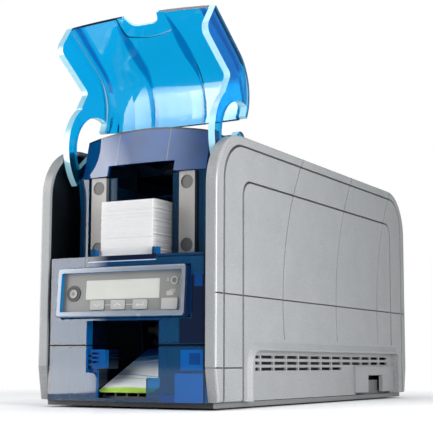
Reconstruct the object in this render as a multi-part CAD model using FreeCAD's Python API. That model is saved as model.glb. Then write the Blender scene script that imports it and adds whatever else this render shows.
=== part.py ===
import FreeCAD, Part
import math
import os

# Desktop identity-card printer: X to the right, Y to the back, Z up, millimetres.
# The origin is on the table, under the middle of the machine.
# The hopper door is modelled open, the printing cover closed.

os.makedirs("parts", exist_ok=True)
V = FreeCAD.Vector

# ---------------------------------------------------------------- driving dimensions
LENGTH = 440.0            # side panel, front edge to rear edge
WIDTH = 172.0             # over the flat faces of the two side panels
PANEL_TOP = 224.0         # top edge of the side panels above the table
PANEL_BOTTOM = 6.0
PANEL_CORNER_R = 46.0     # front and rear top corners of a side panel
PANEL_WALL = 3.5
PANEL_EDGE_R = 2.5        # rounding of the outer edge
RIM_WIDTH = 9.5           # turned-in edge of a side panel
RIM_WALL = 3.0
FOOT_TAPER = 5.0          # how far the panel's ends lean in at the bottom
SPLIT_Z = 33.0            # split line where that lean starts
SEAM_Z = 91.0             # long seam across the panel
GROOVE_DEPTH = 1.8        # the two wide channels
GROOVE_WIDTH = 3.0
SEAM_DEPTH = 0.8          # the fine seams
SEAM_WIDTH = 1.2
CHANNEL_1 = (12.0, 8.0, 33.0)     # inset from the ends, inset from the top, corner radius
CHANNEL_2 = (45.0, 36.5, 14.0)
ARC_SEAM_R = 215.0
ARC_SEAMS = (0.276, 0.547, 0.797)  # apex of each, as a share of the length

HOOD_PROUD = 2.5          # raised frame round the vents
HOOD_RIM = 9.0
HOOD_TOP = 56.5
HOOD_FRONT = 51.5         # outer edge of the frame, from the panel's front edge
HOOD_REAR = 10.0          # the same from the rear edge
HOOD_REAR_LEG = 22.0
HOOD_R = 22.0
VENT_WALL_DEPTH = 5.0     # the vented wall lies this far inside the panel's face
VENT_WALL = 2.0
VENT_LENGTH = 22.8
VENT_GAP = 2.7
VENT_HEIGHT = 2.6
VENT_ROWS = (42.1, 36.9, 31.9)

CARD_W, CARD_L, CARD_T = 54.0, 85.6, 0.76
CARD_R = 3.18
CARD_COUNT = 60
CARD_Z = 124.5            # underside of the card path
CARD_CLEAR = 0.3

CLEAR = 0.5               # between neighbouring mouldings
FIT = 0.05                # radial clearance of a shaft in its bearing
WALL = 3.0                # moulded covers

FACE_INSET = 2.0          # front mouldings behind the panels' front edge, at the sides
FACE_CROWN = 4.5          # how far their middle stands forward
LOWER_COVER_TOP = 50.5
UPPER_COVER_TOP = 124.0
COVER_SEAM = 1.0
TRAY_OPENING_HALF = 35.0  # output opening
TRAY_OPENING_TOP = 71.0
TRAY_ROOF = 1.6

BEZEL_HALF = 62.5
BEZEL_Z = (74.0, 115.0)
BEZEL_PROUD = 8.0         # bottom edge in front of the panels' front edge
BEZEL_TILT = 4.2          # degrees, top leaning back
BEZEL_BORDER = 4.2
BEZEL_RECESS = 4.0
BEZEL_DEPTH = 12.0

DOOR_OPEN = 124.6         # degrees between the door's closed and open poses
DOOR_WALL = 3.5
DOOR_CREASE = 25.5        # the door's middle swells out as far as these creases
DOOR_SWELL = 2.5
DOOR_FLANGE = 6.0         # thickness of the side flanges and arms
ARM_IN, ARM_OUT = 34.0, 46.0
DOOR_PIN_R = 3.0

HUMP_HALF = 61.5          # raised middle of the top cover
HEADER_BOTTOM = 195.5
HEADER_NOTCH = (33.0, 9.0)  # half width and height of the cut-out over the cards
HINGE_PIN_R = 3.0

ROLLER_R = 7.0
END_ROLLER_R = 9.0
SHAFT_R = 3.0
BELT_T = 1.2
FRAME_IN = 33.0           # inner faces of the inner frame plates
FRAME_T = 1.5
FRAME_OUT = 67.2          # inner faces of the outer frame plates

# ---------------------------------------------------------------- derived positions
FRONT, REAR = -LENGTH / 2, LENGTH / 2
HALF = WIDTH / 2
BAY = HALF - RIM_WIDTH - CLEAR            # half width of what fits between the rims
DOOR_HALF = BAY - CLEAR
FACE_Y = FRONT + FACE_INSET
BEZEL_Y = FRONT - BEZEL_PROUD
REAR_MOST = -BEZEL_Y - 0.1                # the machine is as deep behind the origin as in front
DOOR_Y, DOOR_Z = FRONT + 62.0, PANEL_TOP - 0.6
HOPPER_Y = FRONT + 30.0                   # front of the hopper's backing walls
STACK_Y = FRONT + 3.0                     # front edge of the card stack
STACK_TOP = CARD_Z + CARD_COUNT * CARD_T
HOPPER_BACK = STACK_Y + CARD_L + 3.4
PICK_Y = STACK_Y + 63.0
FEED_Y = HOPPER_BACK + 12.0
PLATEN_Y = FEED_Y + 62.0
REAR_ROLL_Y = REAR - 146.0
FLIP_Y = REAR - 64.0
MOTOR_Y = PLATEN_Y + 50.0
ROLLER_TOP = CARD_Z - CARD_CLEAR
SPOOL_Z = CARD_Z + 33.5
SUPPLY_Y, TAKEUP_Y = PLATEN_Y - 44.0, PLATEN_Y + 50.0
COVER_HINGE_Y, COVER_HINGE_Z = REAR - 70.0, PANEL_TOP - 10.0
BELT_X = -(FRAME_IN + FRAME_T + 2.0)      # inner face of the belt

PARTS = {}


# ---------------------------------------------------------------- helpers
def place(plane, a, b, at):
    """A point of a drawing plane: x holds (Y, Z), y holds (X, Z), z holds (X, Y)."""
    return {"x": V(at, a, b), "y": V(a, at, b), "z": V(a, b, at)}[plane]


def outline(points, plane, at):
    """Closed wire through (a, b, corner radius) points."""
    count = len(points)
    corners = []
    for i, (a, b, r) in enumerate(points):
        here = V(a, b, 0)
        back = V(*points[i - 1][:2], 0) - here
        ahead = V(*points[(i + 1) % count][:2], 0) - here
        back.normalize()
        ahead.normalize()
        if r <= 0:
            corners.append((here, None, here))
            continue
        half = back.getAngle(ahead) / 2
        run = r / math.tan(half)
        middle = back + ahead
        middle.normalize()
        mid = here + middle * (r / math.sin(half) - r)
        corners.append((here + back * run, mid, here + ahead * run))
    edges = []
    for i, (start, mid, end) in enumerate(corners):
        if mid is not None:
            edges.append(Part.Arc(*[place(plane, p.x, p.y, at) for p in (start, mid, end)]).toShape())
        after = corners[(i + 1) % count][0]
        if end.distanceToPoint(after) > 1e-6:
            ends = [place(plane, p.x, p.y, at) for p in (end, after)]
            edges.append(Part.LineSegment(*ends).toShape())
    return Part.Wire(edges)


def slab(points, plane, lo, hi):
    """An outline drawn in a plane and given thickness from lo to hi along its normal."""
    along = {"x": V(1, 0, 0), "y": V(0, 1, 0), "z": V(0, 0, 1)}[plane]
    return Part.Face(outline(points, plane, lo)).extrude(along * (hi - lo))


def box(x, y, z):
    """Block between pairs of coordinates."""
    return Part.makeBox(x[1] - x[0], y[1] - y[0], z[1] - z[0], V(x[0], y[0], z[0]))


def corners(a, b):
    """The four corners of a rectangle, in order."""
    return [(a[0], b[0]), (a[1], b[0]), (a[1], b[1]), (a[0], b[1])]


def rod(axis, r, lo, hi, a, b):
    """Cylinder along x, y or z from lo to hi, centred on (a, b) of the plane across it."""
    along = {"x": V(1, 0, 0), "y": V(0, 1, 0), "z": V(0, 0, 1)}[axis]
    return Part.makeCylinder(r, hi - lo, place(axis, a, b, lo), along)


def tube(axis, r_out, r_in, lo, hi, a, b):
    return rod(axis, r_out, lo, hi, a, b).cut(rod(axis, r_in, lo - 1, hi + 1, a, b))


def join(*shapes):
    """One solid from touching or overlapping shapes."""
    whole = shapes[0]
    if len(shapes) > 1:
        whole = whole.multiFuse(list(shapes[1:]))
    return whole.removeSplitter()


def mirrored(shape):
    return shape.mirror(V(0, 0, 0), V(1, 0, 0))


def both(shape):
    """A shape on the right and its mirror image on the left."""
    return [shape, mirrored(shape)]


def keep(name, shape):
    PARTS[name] = shape


# ---------------------------------------------------------------- side panels
def panel_points(inset=0.0):
    """Side view of a panel, drawn in by an inset."""
    r = PANEL_CORNER_R - inset
    low_front, low_rear = FRONT + FOOT_TAPER + inset, REAR - FOOT_TAPER - inset
    return [(low_front, PANEL_BOTTOM + inset, 0), (FRONT + inset, SPLIT_Z, 0),
            (FRONT + inset, PANEL_TOP - inset, r), (REAR - inset, PANEL_TOP - inset, r),
            (REAR - inset, SPLIT_Z, 0), (low_rear, PANEL_BOTTOM + inset, 0)]


def channel(inset, top_inset, corner_r):
    """Wide groove that follows the panel's edge, open at the bottom."""
    low, high = HALF - GROOVE_DEPTH, HALF + 5
    step = GROOVE_WIDTH
    outlines = []
    for ends, top, r in ((inset, top_inset, corner_r),
                         (inset + step, top_inset + step * 0.6, corner_r - step / 2)):
        outlines.append([(FRONT + ends, -10, 0), (FRONT + ends, PANEL_TOP - top, r),
                         (REAR - ends, PANEL_TOP - top, r), (REAR - ends, -10, 0)])
    return slab(outlines[0], "x", low, high).cut(slab(outlines[1], "x", low - 1, high + 1))


def arc_seam(apex):
    """Fine upright seam that leans back with height."""
    low, high = HALF - SEAM_DEPTH, HALF + 5
    centre = (apex + ARC_SEAM_R, SEAM_Z)
    ring = tube("x", ARC_SEAM_R, ARC_SEAM_R - SEAM_WIDTH, low, high, *centre)
    return ring.common(box((low - 1, high + 1), (apex - 1, apex + 60), (HOOD_TOP + 1, PANEL_TOP + 1)))


def hood_points(grow=0.0, bottom=-5.0):
    """Arched outline of the vented recess, grown outward by a margin."""
    front = FRONT + HOOD_FRONT + HOOD_RIM - grow
    rear = REAR - HOOD_REAR - HOOD_REAR_LEG + grow
    top = HOOD_TOP - HOOD_RIM + grow
    return [(front, bottom, 0), (front, top, HOOD_R - HOOD_RIM + grow), (rear, top, 4 + grow),
            (rear, bottom, 0)]


def hood_frame():
    """Raised frame round the recess, sloping up to its inner edge."""
    outer = outline(hood_points(HOOD_RIM, PANEL_BOTTOM), "x", HALF - 1)
    crest = outline(hood_points(1.5, PANEL_BOTTOM), "x", HALF + HOOD_PROUD)
    return Part.makeLoft([outer, crest], True, True)


def vent_slots():
    """Three rows of slots through the recessed wall; the lowest row is shorter."""
    first = FRONT + HOOD_FRONT + HOOD_RIM + 17.5
    last = REAR - HOOD_REAR - HOOD_REAR_LEG - 3
    face = HALF - VENT_WALL_DEPTH
    slots = []
    for row, z in enumerate(VENT_ROWS):
        end = last if row < 2 else last - 0.36 * (last - first)
        y = first + 11.5
        spans = [(first, first + 8.7)]
        while y + VENT_LENGTH < end:
            spans.append((y, y + VENT_LENGTH))
            y += VENT_LENGTH + VENT_GAP
        for y0, y1 in spans:
            z0 = z - VENT_HEIGHT / 2
            slots.append(box((face - VENT_WALL - 1, face + 1), (y0, y1), (z0, z0 + VENT_HEIGHT)))
    return slots


def side_panel(cable_port):
    """Right panel: skin with turned-in rim, channels, seams and the vented recess."""
    skin = slab(panel_points(), "x", HALF - RIM_WIDTH, HALF)
    outer_edges = [e for e in skin.Edges if e.BoundBox.XMin > HALF - 0.01]
    skin = skin.makeFillet(PANEL_EDGE_R, outer_edges)
    skin = skin.cut(slab(panel_points(RIM_WALL), "x", HALF - RIM_WIDTH - 1, HALF - PANEL_WALL))
    face = HALF - VENT_WALL_DEPTH
    liner = slab(hood_points(VENT_WALL, PANEL_BOTTOM), "x", face - VENT_WALL, HALF - 1)
    whole = join(skin, liner, hood_frame())
    grooves = [channel(*CHANNEL_1), channel(*CHANNEL_2)]
    for share in ARC_SEAMS:
        grooves.append(arc_seam(FRONT + share * LENGTH))
    low, high = HALF - SEAM_DEPTH, HALF + 5
    grooves.append(box((low, high), (FRONT - 5, REAR + 5), (SEAM_Z, SEAM_Z + SEAM_WIDTH)))
    split_z = (SPLIT_Z - SEAM_WIDTH / 2, SPLIT_Z + SEAM_WIDTH / 2)
    split_end = FRONT + CHANNEL_2[0]
    grooves.append(box((low, high), (FRONT - 5, split_end), split_z))
    grooves.append(box((0, high), (FRONT - 5, FRONT + SEAM_DEPTH), split_z))
    grooves.append(box((0, high), (REAR - SEAM_DEPTH, REAR + 5), split_z))
    frame = slab(hood_points(HOOD_RIM, PANEL_BOTTOM), "x", low - 5, high + 5)
    whole = whole.cut([g.cut(frame) for g in grooves])
    whole = whole.cut([slab(hood_points(), "x", face, high)] + vent_slots())
    if cable_port:
        whole = whole.cut(box((HALF - RIM_WIDTH - 1, face + 1), PORT_WINDOW_Y, PORT_WINDOW_Z))
    return whole


PORT_Y = (REAR - 142.5, REAR - 33.5)
PORT_Z = (8.0, 34.0)
PORT_HOLE_Y = (REAR - 107.5, REAR - 66.5)
PORT_HOLE_Z = (PANEL_BOTTOM, 25.0)
PORT_LAP = 4.0
PORT_WINDOW_Y = (PORT_Y[0] + PORT_LAP, PORT_Y[1] - PORT_LAP)
PORT_WINDOW_Z = (PANEL_BOTTOM - 1, PORT_Z[1] - PORT_LAP)
PORT_T = 2.0


def cable_port_cover():
    """Removable plate over the side cable port, with the opening that a lead leaves by."""
    face = HALF - VENT_WALL_DEPTH
    plate = slab([(y, z, 1) for y, z in corners(PORT_Y, PORT_Z)], "x", face, face + PORT_T)
    plug = box((face - VENT_WALL, face + 1), (PORT_WINDOW_Y[0] + CLEAR / 2, PORT_WINDOW_Y[1] - CLEAR / 2),
               (PORT_Z[0], PORT_WINDOW_Z[1] - CLEAR / 2))
    hole = box((face - 5, face + 5), PORT_HOLE_Y, PORT_HOLE_Z)
    return join(plate, plug).cut(hole)


# ---------------------------------------------------------------- base
TRAY_FLOOR = (1.5, 5.5)
TRAY_WALL_TOP = 20.0


def base_tray():
    """Shallow tray that everything stands in, with a rounded nose and stiffening ribs."""
    edge = HALF - 5.0
    y0, y1 = FRONT + 7.0, REAR - 7.0
    plan = [(-edge, y0, 3), (edge, y0, 3), (edge, y1, 3), (-edge, y1, 3)]
    base = slab(plan, "z", *TRAY_FLOOR)
    inner = BAY - CLEAR
    ring = box((-inner, inner), (y0 + 30, FAN_FRONT - 2), (TRAY_FLOOR[1] - 1, TRAY_WALL_TOP))
    ring = ring.cut(box((2.5 - inner, inner - 2.5), (y0 + 20, FAN_FRONT - 4.5), (0, TRAY_WALL_TOP + 1)))
    ribs = []
    for i in range(5):
        y = FRONT + 110.0 + 28.0 * i
        ribs.append(box((1 - FRAME_OUT, FRAME_OUT - 1), (y, y + 2), (TRAY_FLOOR[1] - 1, TRAY_FLOOR[1] + 1.5)))
    return join(base, ring, *ribs)


def rubber_feet():
    feet = []
    for x in (-HALF + 26, HALF - 26):
        for y in (FRONT + 30, REAR - 30):
            feet.append(rod("z", 9.0, 0.0, TRAY_FLOOR[0], x, y))
    return Part.makeCompound(feet)


def rear_panel():
    """Metal plate at the bottom rear, with the sockets' cut-outs and the fan grille."""
    y0, y1 = REAR - 10.0, REAR - 8.0
    plate = slab([(-BAY, 8, 2), (BAY, 8, 2), (BAY, REAR_PANEL_TOP, 2), (-BAY, REAR_PANEL_TOP, 2)],
                 "y", y0, y1)
    holes = [box((INLET_X - 14, INLET_X + 14), (y0 - 1, y1 + 1), (INLET_Z - 10, INLET_Z + 10))]
    for x, w, z, h in PORTS:
        holes.append(box((x - w / 2, x + w / 2), (y0 - 1, y1 + 1), (z - h / 2, z + h / 2)))
    for ring in range(3):
        r = 10.0 + 7.0 * ring
        gap = tube("y", r + 4.0, r, y0 - 1, y1 + 1, FAN_X, FAN_Z)
        bars = [box((FAN_X - 40, FAN_X + 40), (y0 - 2, y1 + 2), (FAN_Z - 1.5, FAN_Z + 1.5)),
                box((FAN_X - 1.5, FAN_X + 1.5), (y0 - 2, y1 + 2), (FAN_Z - 40, FAN_Z + 40))]
        holes.append(gap.cut(bars))
    return plate.cut(holes)


REAR_PANEL_TOP = 72.0
INLET_X, INLET_Z = 40.0, 40.0
FAN_X, FAN_Z, FAN_SIZE, FAN_T = -38.0, 42.0, 60.0, 15.0
FAN_FRONT = REAR - 10.0 - FAN_T
# data sockets: X of the centre, width, Z of the centre, height
PORTS = ((8.0, 12.0, 50.0, 11.0), (8.0, 16.0, 30.0, 13.0))


def power_inlet():
    """Three-pin appliance inlet: flanged shroud with a shaped well and three blades."""
    y1 = REAR - 8.0
    flange = slab([(INLET_X - 15.5, INLET_Z - 12, 2), (INLET_X + 15.5, INLET_Z - 12, 2),
                   (INLET_X + 15.5, INLET_Z + 12, 2), (INLET_X - 15.5, INLET_Z + 12, 2)],
                  "y", y1, y1 + 2.5)
    shroud = box((INLET_X - 13.7, INLET_X + 13.7), (y1 - 20, y1), (INLET_Z - 9.8, INLET_Z + 9.8))
    well = slab([(INLET_X - 12, INLET_Z - 8, 1), (INLET_X + 12, INLET_Z - 8, 1),
                 (INLET_X + 12, INLET_Z + 3, 1), (INLET_X + 7, INLET_Z + 8, 1),
                 (INLET_X - 7, INLET_Z + 8, 1), (INLET_X - 12, INLET_Z + 3, 1)],
                "y", y1 - 16, y1 + 3)
    blades = []
    for dx, dz in ((-7, -2), (0, 2), (7, -2)):
        blades.append(box((INLET_X + dx - 1, INLET_X + dx + 1), (y1 - 17, y1 - 2),
                          (INLET_Z + dz - 2, INLET_Z + dz + 2)))
    return join(flange.fuse(shroud).cut(well), *blades)


def data_ports():
    """Square peripheral socket above a network socket, each a shell with its contacts' tongue."""
    sockets = []
    y1 = REAR - 8.0
    for x, w, z, h in PORTS:
        hw, hh = w / 2 - 0.2, h / 2 - 0.2
        shell = box((x - hw, x + hw), (y1 - 16, y1 + 0.6), (z - hh, z + hh))
        well = box((x - hw + 0.8, x + hw - 0.8), (y1 - 13, y1 + 1), (z - hh + 0.8, z + hh - 0.8))
        tongue = box((x - hw / 2, x + hw / 2), (y1 - 14, y1 - 3), (z - 1.2, z + 1.2))
        sockets.append(join(shell.cut(well), tongue))
    return Part.makeCompound(sockets)


def rear_housing():
    """Cover of the turning module: rounded rear top, with the blocks and pins of the cover's hinge."""
    top, back = PANEL_TOP - 3.0, REAR_MOST
    front = COVER_HINGE_Y + 10.5
    outer = [(front, top, 0), (back, top, 47), (back, REAR_PANEL_TOP + 10, 6),
             (REAR - 8, REAR_PANEL_TOP, 0), (REAR - 20, REAR_PANEL_TOP, 0),
             (REAR - 20, REAR_PANEL_TOP + WALL, 0), (front, top - 9, 0)]
    inner = [(front + WALL, top - WALL, 0), (back - WALL, top - WALL, 44),
             (back - WALL, REAR_PANEL_TOP + 11, 4), (REAR - 9, REAR_PANEL_TOP + WALL, 0),
             (REAR - 40, REAR_PANEL_TOP + WALL, 0), (front - 30, top - 10, 0),
             (front + WALL, top - 10, 0)]
    shell = slab(outer, "x", -BAY, BAY).cut(slab(inner, "x", WALL - BAY, BAY - WALL))
    blocks = []
    for block in both(slab([(COVER_HINGE_Y - 11, top - 14, 3), (front + 4, top - 14, 0),
                            (front + 4, top, 0), (COVER_HINGE_Y - 11, top, 5)],
                           "x", BAY - 9, BAY)):
        blocks.append(block)
    pins = both(rod("x", HINGE_PIN_R, HUMP_HALF - WALL, BAY - 5, COVER_HINGE_Y, COVER_HINGE_Z))
    return join(shell, *blocks, *pins)


# ---------------------------------------------------------------- front mouldings
def crowned(half, y_side, crown, y_back, z0, z1):
    """Block whose front face bows forward in plan."""
    a, b, c = V(-half, y_side, z0), V(0, y_side - crown, z0), V(half, y_side, z0)
    d, e = V(half, y_back, z0), V(-half, y_back, z0)
    edges = [Part.Arc(a, b, c).toShape(), Part.LineSegment(c, d).toShape(),
             Part.LineSegment(d, e).toShape(), Part.LineSegment(e, a).toShape()]
    return Part.Face(Part.Wire(edges)).extrude(V(0, 0, z1 - z0))


def crowned_shell(z0, z1, y_back):
    outer = crowned(BAY, FACE_Y, FACE_CROWN, y_back, z0, z1)
    inner = crowned(BAY - WALL, FACE_Y + WALL, FACE_CROWN, y_back + 50, z0 + 2.5, z1 - 2.5)
    return outer.cut(inner)


COVER_BACK = HOPPER_Y - 2.0
TRAY_BACK = FRONT + 86.0


def lower_front_cover():
    """Lower front moulding: two towers, the lips that hold the finished cards, and the floor."""
    z0, z1 = TRAY_FLOOR[1] + CLEAR / 2, LOWER_COVER_TOP
    shell = crowned_shell(z0, z1, COVER_BACK)
    opening = TRAY_OPENING_HALF
    lip_cut = [(-24, z0 + 2.5, 0), (24, z0 + 2.5, 0), (24, 25, 1.5), (opening, 25, 0),
               (opening, z1 + 1, 0), (-opening, z1 + 1, 0), (-opening, 28.5, 0), (-24, 28.5, 5)]
    shell = shell.cut(slab(lip_cut, "y", FRONT - 10, COVER_BACK + 5))
    inside = box((-opening, opening), (FACE_Y + WALL - 1, COVER_BACK + 5), (z0 + 2.5, z1 + 1))
    shell = shell.cut(inside)
    walls = both(box((opening, opening + 2.5), (FACE_Y, FRONT + 52), (z0, z1)))
    floor = box((-opening - 2.5, opening + 2.5), (FACE_Y + 1, TRAY_BACK), (z0, z0 + 2.5))
    return join(shell, *walls, floor, card_catch_bracket())


def card_ramp_z(y):
    """Height of the finished card's underside over the tray."""
    return 12.7 + (y - (FRONT + 5.0)) * math.tan(math.radians(24.8))


def output_tray():
    """Sloping ribs that the finished cards slide down."""
    z0 = TRAY_FLOOR[1] + CLEAR / 2 + 2.5
    y0, y1 = FRONT + 7.0, TRAY_BACK - 4
    base = box((-24, 24), (y0, y1), (z0, z0 + 1.5))
    ribs = []
    for i in range(5):
        x = -22.0 + 11.0 * i
        ribs.append(slab([(y0, z0, 0), (y1, z0, 0), (y1, card_ramp_z(y1), 0), (y0, card_ramp_z(y0), 0)],
                         "x", x - 0.8, x + 0.8))
    return join(base, *ribs)


def card_catch_bracket():
    """Slotted block on the left of the output opening, with a post down to the floor."""
    x0, x1 = -TRAY_OPENING_HALF, -18.5
    block = slab([(x0, 32, 0), (x1, 32, 1), (x1, 47.5, 1), (x0, 47.5, 0)], "y", FRONT + 2, FRONT + 22)
    slots = [box((x0 + 3, x1 - 6), (FRONT, FRONT + 6), (z, z + 1.6)) for z in (36.5, 40, 43.5)]
    post = box((x0, x0 + 7), (FRONT + 4, FRONT + 20), (TRAY_FLOOR[1] + CLEAR / 2 + 2.5, 33))
    return join(block.cut(slots), post)


def upper_front_cover():
    """Upper front moulding: ledge under the cards, display window and output opening."""
    z0, z1 = LOWER_COVER_TOP + COVER_SEAM, UPPER_COVER_TOP
    shell = crowned_shell(z0, z1, COVER_BACK)
    opening = TRAY_OPENING_HALF
    gap = 0.3
    window = box((-BEZEL_HALF - gap, BEZEL_HALF + gap), (FRONT - 20, FACE_Y + 15),
                 (TRAY_OPENING_TOP + TRAY_ROOF, BEZEL_Z[1] + gap))
    notch = box((-opening, opening), (FRONT - 20, COVER_BACK + 5), (z0 - 1, TRAY_OPENING_TOP))
    shell = shell.cut([window, notch])
    walls = both(box((opening, opening + 2.5), (FACE_Y, COVER_BACK), (z0, TRAY_OPENING_TOP + TRAY_ROOF)))
    roof = box((-opening - 2.5, opening + 2.5), (FACE_Y, COVER_BACK),
               (TRAY_OPENING_TOP, TRAY_OPENING_TOP + TRAY_ROOF))
    pegs = both(box((CARD_W / 2 + 0.6, CARD_W / 2 + 5.6), (STACK_Y - 4, STACK_Y + 1), (z1 - 1, z1 + 6)))
    return join(shell, *walls, roof, *pegs)


# ---------------------------------------------------------------- control panel
def tilted(shape):
    """Leans a shape of the control panel back about the bezel's bottom front edge."""
    leaned = shape.copy()
    leaned.rotate(V(0, BEZEL_Y, BEZEL_Z[0]), V(1, 0, 0), -BEZEL_TILT)
    return leaned


PANEL_FACE = BEZEL_Y + BEZEL_RECESS
PANEL_T = 2.0
BOARD_Y = BEZEL_Y + BEZEL_DEPTH - 1.6
KEY_GAP = 0.3
KEYS = {"key_down": (-23.3, 84.0), "key_up": (-3.0, 84.0), "key_enter": (18.3, 84.0)}
KEY_SIZE = (13.5, 8.0)
USER_BUTTON = (46.0, 83.8)
USER_BUTTON_SIZE = (15.0, 9.5)
POWER_BUTTON = (-47.5, 94.0)
POWER_R, POWER_RING_R = 4.5, 6.6
STATUS_LIGHT = (49.5, 102.5)
STATUS_R = 3.5
DISPLAY = (-36.0, 36.0, 88.7, 104.7)


def rectangle(x, z, w, h, r=1.2):
    return [(x - w / 2, z - h / 2, r), (x + w / 2, z - h / 2, r), (x + w / 2, z + h / 2, r),
            (x - w / 2, z + h / 2, r)]


def display_bezel():
    z0, z1 = BEZEL_Z
    outer = rectangle(0, (z0 + z1) / 2, 2 * BEZEL_HALF, z1 - z0, 3)
    frame = slab(outer, "y", BEZEL_Y, BEZEL_Y + BEZEL_DEPTH)
    front = [e for e in frame.Edges if e.BoundBox.YMax < BEZEL_Y + 0.01]
    frame = frame.makeFillet(1.2, front)
    hole = rectangle(0, (z0 + z1) / 2, 2 * (BEZEL_HALF - BEZEL_BORDER), z1 - z0 - 2 * BEZEL_BORDER, 1.5)
    return tilted(frame.cut(slab(hole, "y", BEZEL_Y - 1, BEZEL_Y + BEZEL_DEPTH + 1)))


def control_panel():
    """Faceplate inside the bezel, with openings for the display, keys and light."""
    z0, z1 = BEZEL_Z
    size = (2 * (BEZEL_HALF - BEZEL_BORDER), z1 - z0 - 2 * BEZEL_BORDER)
    plate = slab(rectangle(0, (z0 + z1) / 2, *size, 1.5), "y", PANEL_FACE, PANEL_FACE + PANEL_T)
    lo, hi = PANEL_FACE - 1, PANEL_FACE + PANEL_T + 1
    holes = [slab(rectangle(x, z, KEY_SIZE[0] + 2 * KEY_GAP, KEY_SIZE[1] + 2 * KEY_GAP), "y", lo, hi)
             for x, z in KEYS.values()]
    holes.append(slab(rectangle(*USER_BUTTON, USER_BUTTON_SIZE[0] + 2 * KEY_GAP,
                                USER_BUTTON_SIZE[1] + 2 * KEY_GAP), "y", lo, hi))
    holes.append(rod("y", POWER_RING_R, lo, hi, *POWER_BUTTON))
    holes.append(rod("y", STATUS_R, lo, hi, *STATUS_LIGHT))
    holes.append(box(DISPLAY[:2], (lo, hi), DISPLAY[2:]))
    return tilted(plate.cut(holes))


def display_glass():
    return tilted(box(DISPLAY[:2], (PANEL_FACE + 0.4, PANEL_FACE + PANEL_T), DISPLAY[2:]))


def display_board():
    """Keypad's circuit board with the liquid-crystal module that stands on it."""
    z0, z1 = BEZEL_Z[0] + BEZEL_BORDER, BEZEL_Z[1] - BEZEL_BORDER
    half = BEZEL_HALF - BEZEL_BORDER - KEY_GAP
    board = box((-half, half), (BOARD_Y, BOARD_Y + 1.6), (z0 + KEY_GAP, z1 - KEY_GAP))
    module = box((DISPLAY[0] - 4, DISPLAY[1] + 2), (PANEL_FACE + PANEL_T, BOARD_Y),
                 (DISPLAY[2] - 0.2, DISPLAY[3] + 3))
    return tilted(join(board, module))


def key(x, z, w, h, proud=0.9):
    """Key cap with the flange that stops it behind the faceplate and its plunger."""
    back = PANEL_FACE + PANEL_T
    cap = slab(rectangle(x, z, w, h), "y", PANEL_FACE - proud, back + 0.4)
    flange = slab(rectangle(x, z, w + 1.0, h - 0.4, 0.5), "y", back + 0.2, back + 1.0)
    stem = rod("y", 1.5, back + 1, BOARD_Y - 1.3, x, z)
    return tilted(join(cap, flange, stem))


def power_button():
    back = PANEL_FACE + PANEL_T
    cap = rod("y", POWER_R, PANEL_FACE - 1.1, back + 0.6, *POWER_BUTTON)
    dish = Part.makeSphere(14.0, V(POWER_BUTTON[0], PANEL_FACE - 14.6, POWER_BUTTON[1]))
    flange = rod("y", POWER_R + 0.8, back + 0.2, back + 1.0, *POWER_BUTTON)
    stem = rod("y", 1.5, back + 1, BOARD_Y - 1.3, *POWER_BUTTON)
    return tilted(join(cap.cut(dish), flange, stem))


def power_button_ring():
    return tilted(tube("y", POWER_RING_R, POWER_R + 0.3, PANEL_FACE - 0.8, PANEL_FACE + PANEL_T,
                       *POWER_BUTTON))


def status_light():
    return tilted(rod("y", STATUS_R, PANEL_FACE - 0.3, PANEL_FACE + PANEL_T, *STATUS_LIGHT))


# ---------------------------------------------------------------- card hopper
GUIDE_X = (36.5, 51.5)
POST_X = (57.0, 63.5)


def hopper_frame():
    """Moulding that guides the card stack: posts, backing walls, side guides and back wall."""
    z0, z1 = UPPER_COVER_TOP + 0.3, HEADER_BOTTOM - CLEAR
    guide = CARD_W / 2 + 1.0
    back = HOPPER_BACK
    pieces = []
    post = slab([(POST_X[0], z0, 0), (POST_X[1], z0, 0), (POST_X[1] - 1, z0 + 38, 60),
                 (POST_X[1] + 2.7, z1, 0), (POST_X[0], z1, 0)], "y", HOPPER_Y - 3, HOPPER_Y)
    web = box((POST_X[0] - 2, POST_X[0] + 0.5), (HOPPER_Y - 3, HOPPER_Y + 50), (z0, z1))
    backing = box((guide, POST_X[0]), (HOPPER_Y, HOPPER_Y + 2), (z0, z1))
    side = box((guide, guide + 2.5), (HOPPER_Y, back), (z0, z1 - 8))
    for piece in (post, web, backing, side):
        pieces += both(piece)
    slot_top = CARD_Z + CARD_T + 0.9
    pieces.append(box((-guide - 2.5, guide + 2.5), (back, back + 2.5), (slot_top, z1 - 8)))
    return join(*pieces)


def guide_plate():
    """Sheet guide in front of the backing wall, with two round dimples."""
    z0, z1 = UPPER_COVER_TOP + 0.3, HEADER_BOTTOM - CLEAR
    y1 = HOPPER_Y
    plate = slab([(GUIDE_X[0], z0, 0), (GUIDE_X[1], z0, 0), (GUIDE_X[1], z1, 1), (GUIDE_X[0], z1, 1)],
                 "y", y1 - 4, y1)
    plate = plate.cut(box((GUIDE_X[0] + 2, GUIDE_X[1] - 2), (y1 - 2, y1 + 1), (z0 - 1, z1 - 2)))
    middle = (GUIDE_X[0] + GUIDE_X[1]) / 2
    return plate.cut([rod("y", 5.8, y1 - 5, y1 - 3.1, middle, z) for z in (z0 + 9, z1 - 9)])


def hopper_floor():
    """Plate under the stack, with the slot that the pick roller reaches through."""
    half = CARD_W / 2 + 1.0
    plate = box((-half - 3, half + 3), (HOPPER_Y + 0.2, HOPPER_BACK + 2.5), (CARD_Z - 3, CARD_Z - 0.3))
    lip = box((-half, half), (HOPPER_Y + 0.2, HOPPER_BACK + 2.5), (CARD_Z - 0.4, CARD_Z))
    slot = box((-13, 13), (PICK_Y - 9.5, PICK_Y + 9.5), (CARD_Z - 9, CARD_Z + 1))
    return join(plate, lip).cut(slot)


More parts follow.
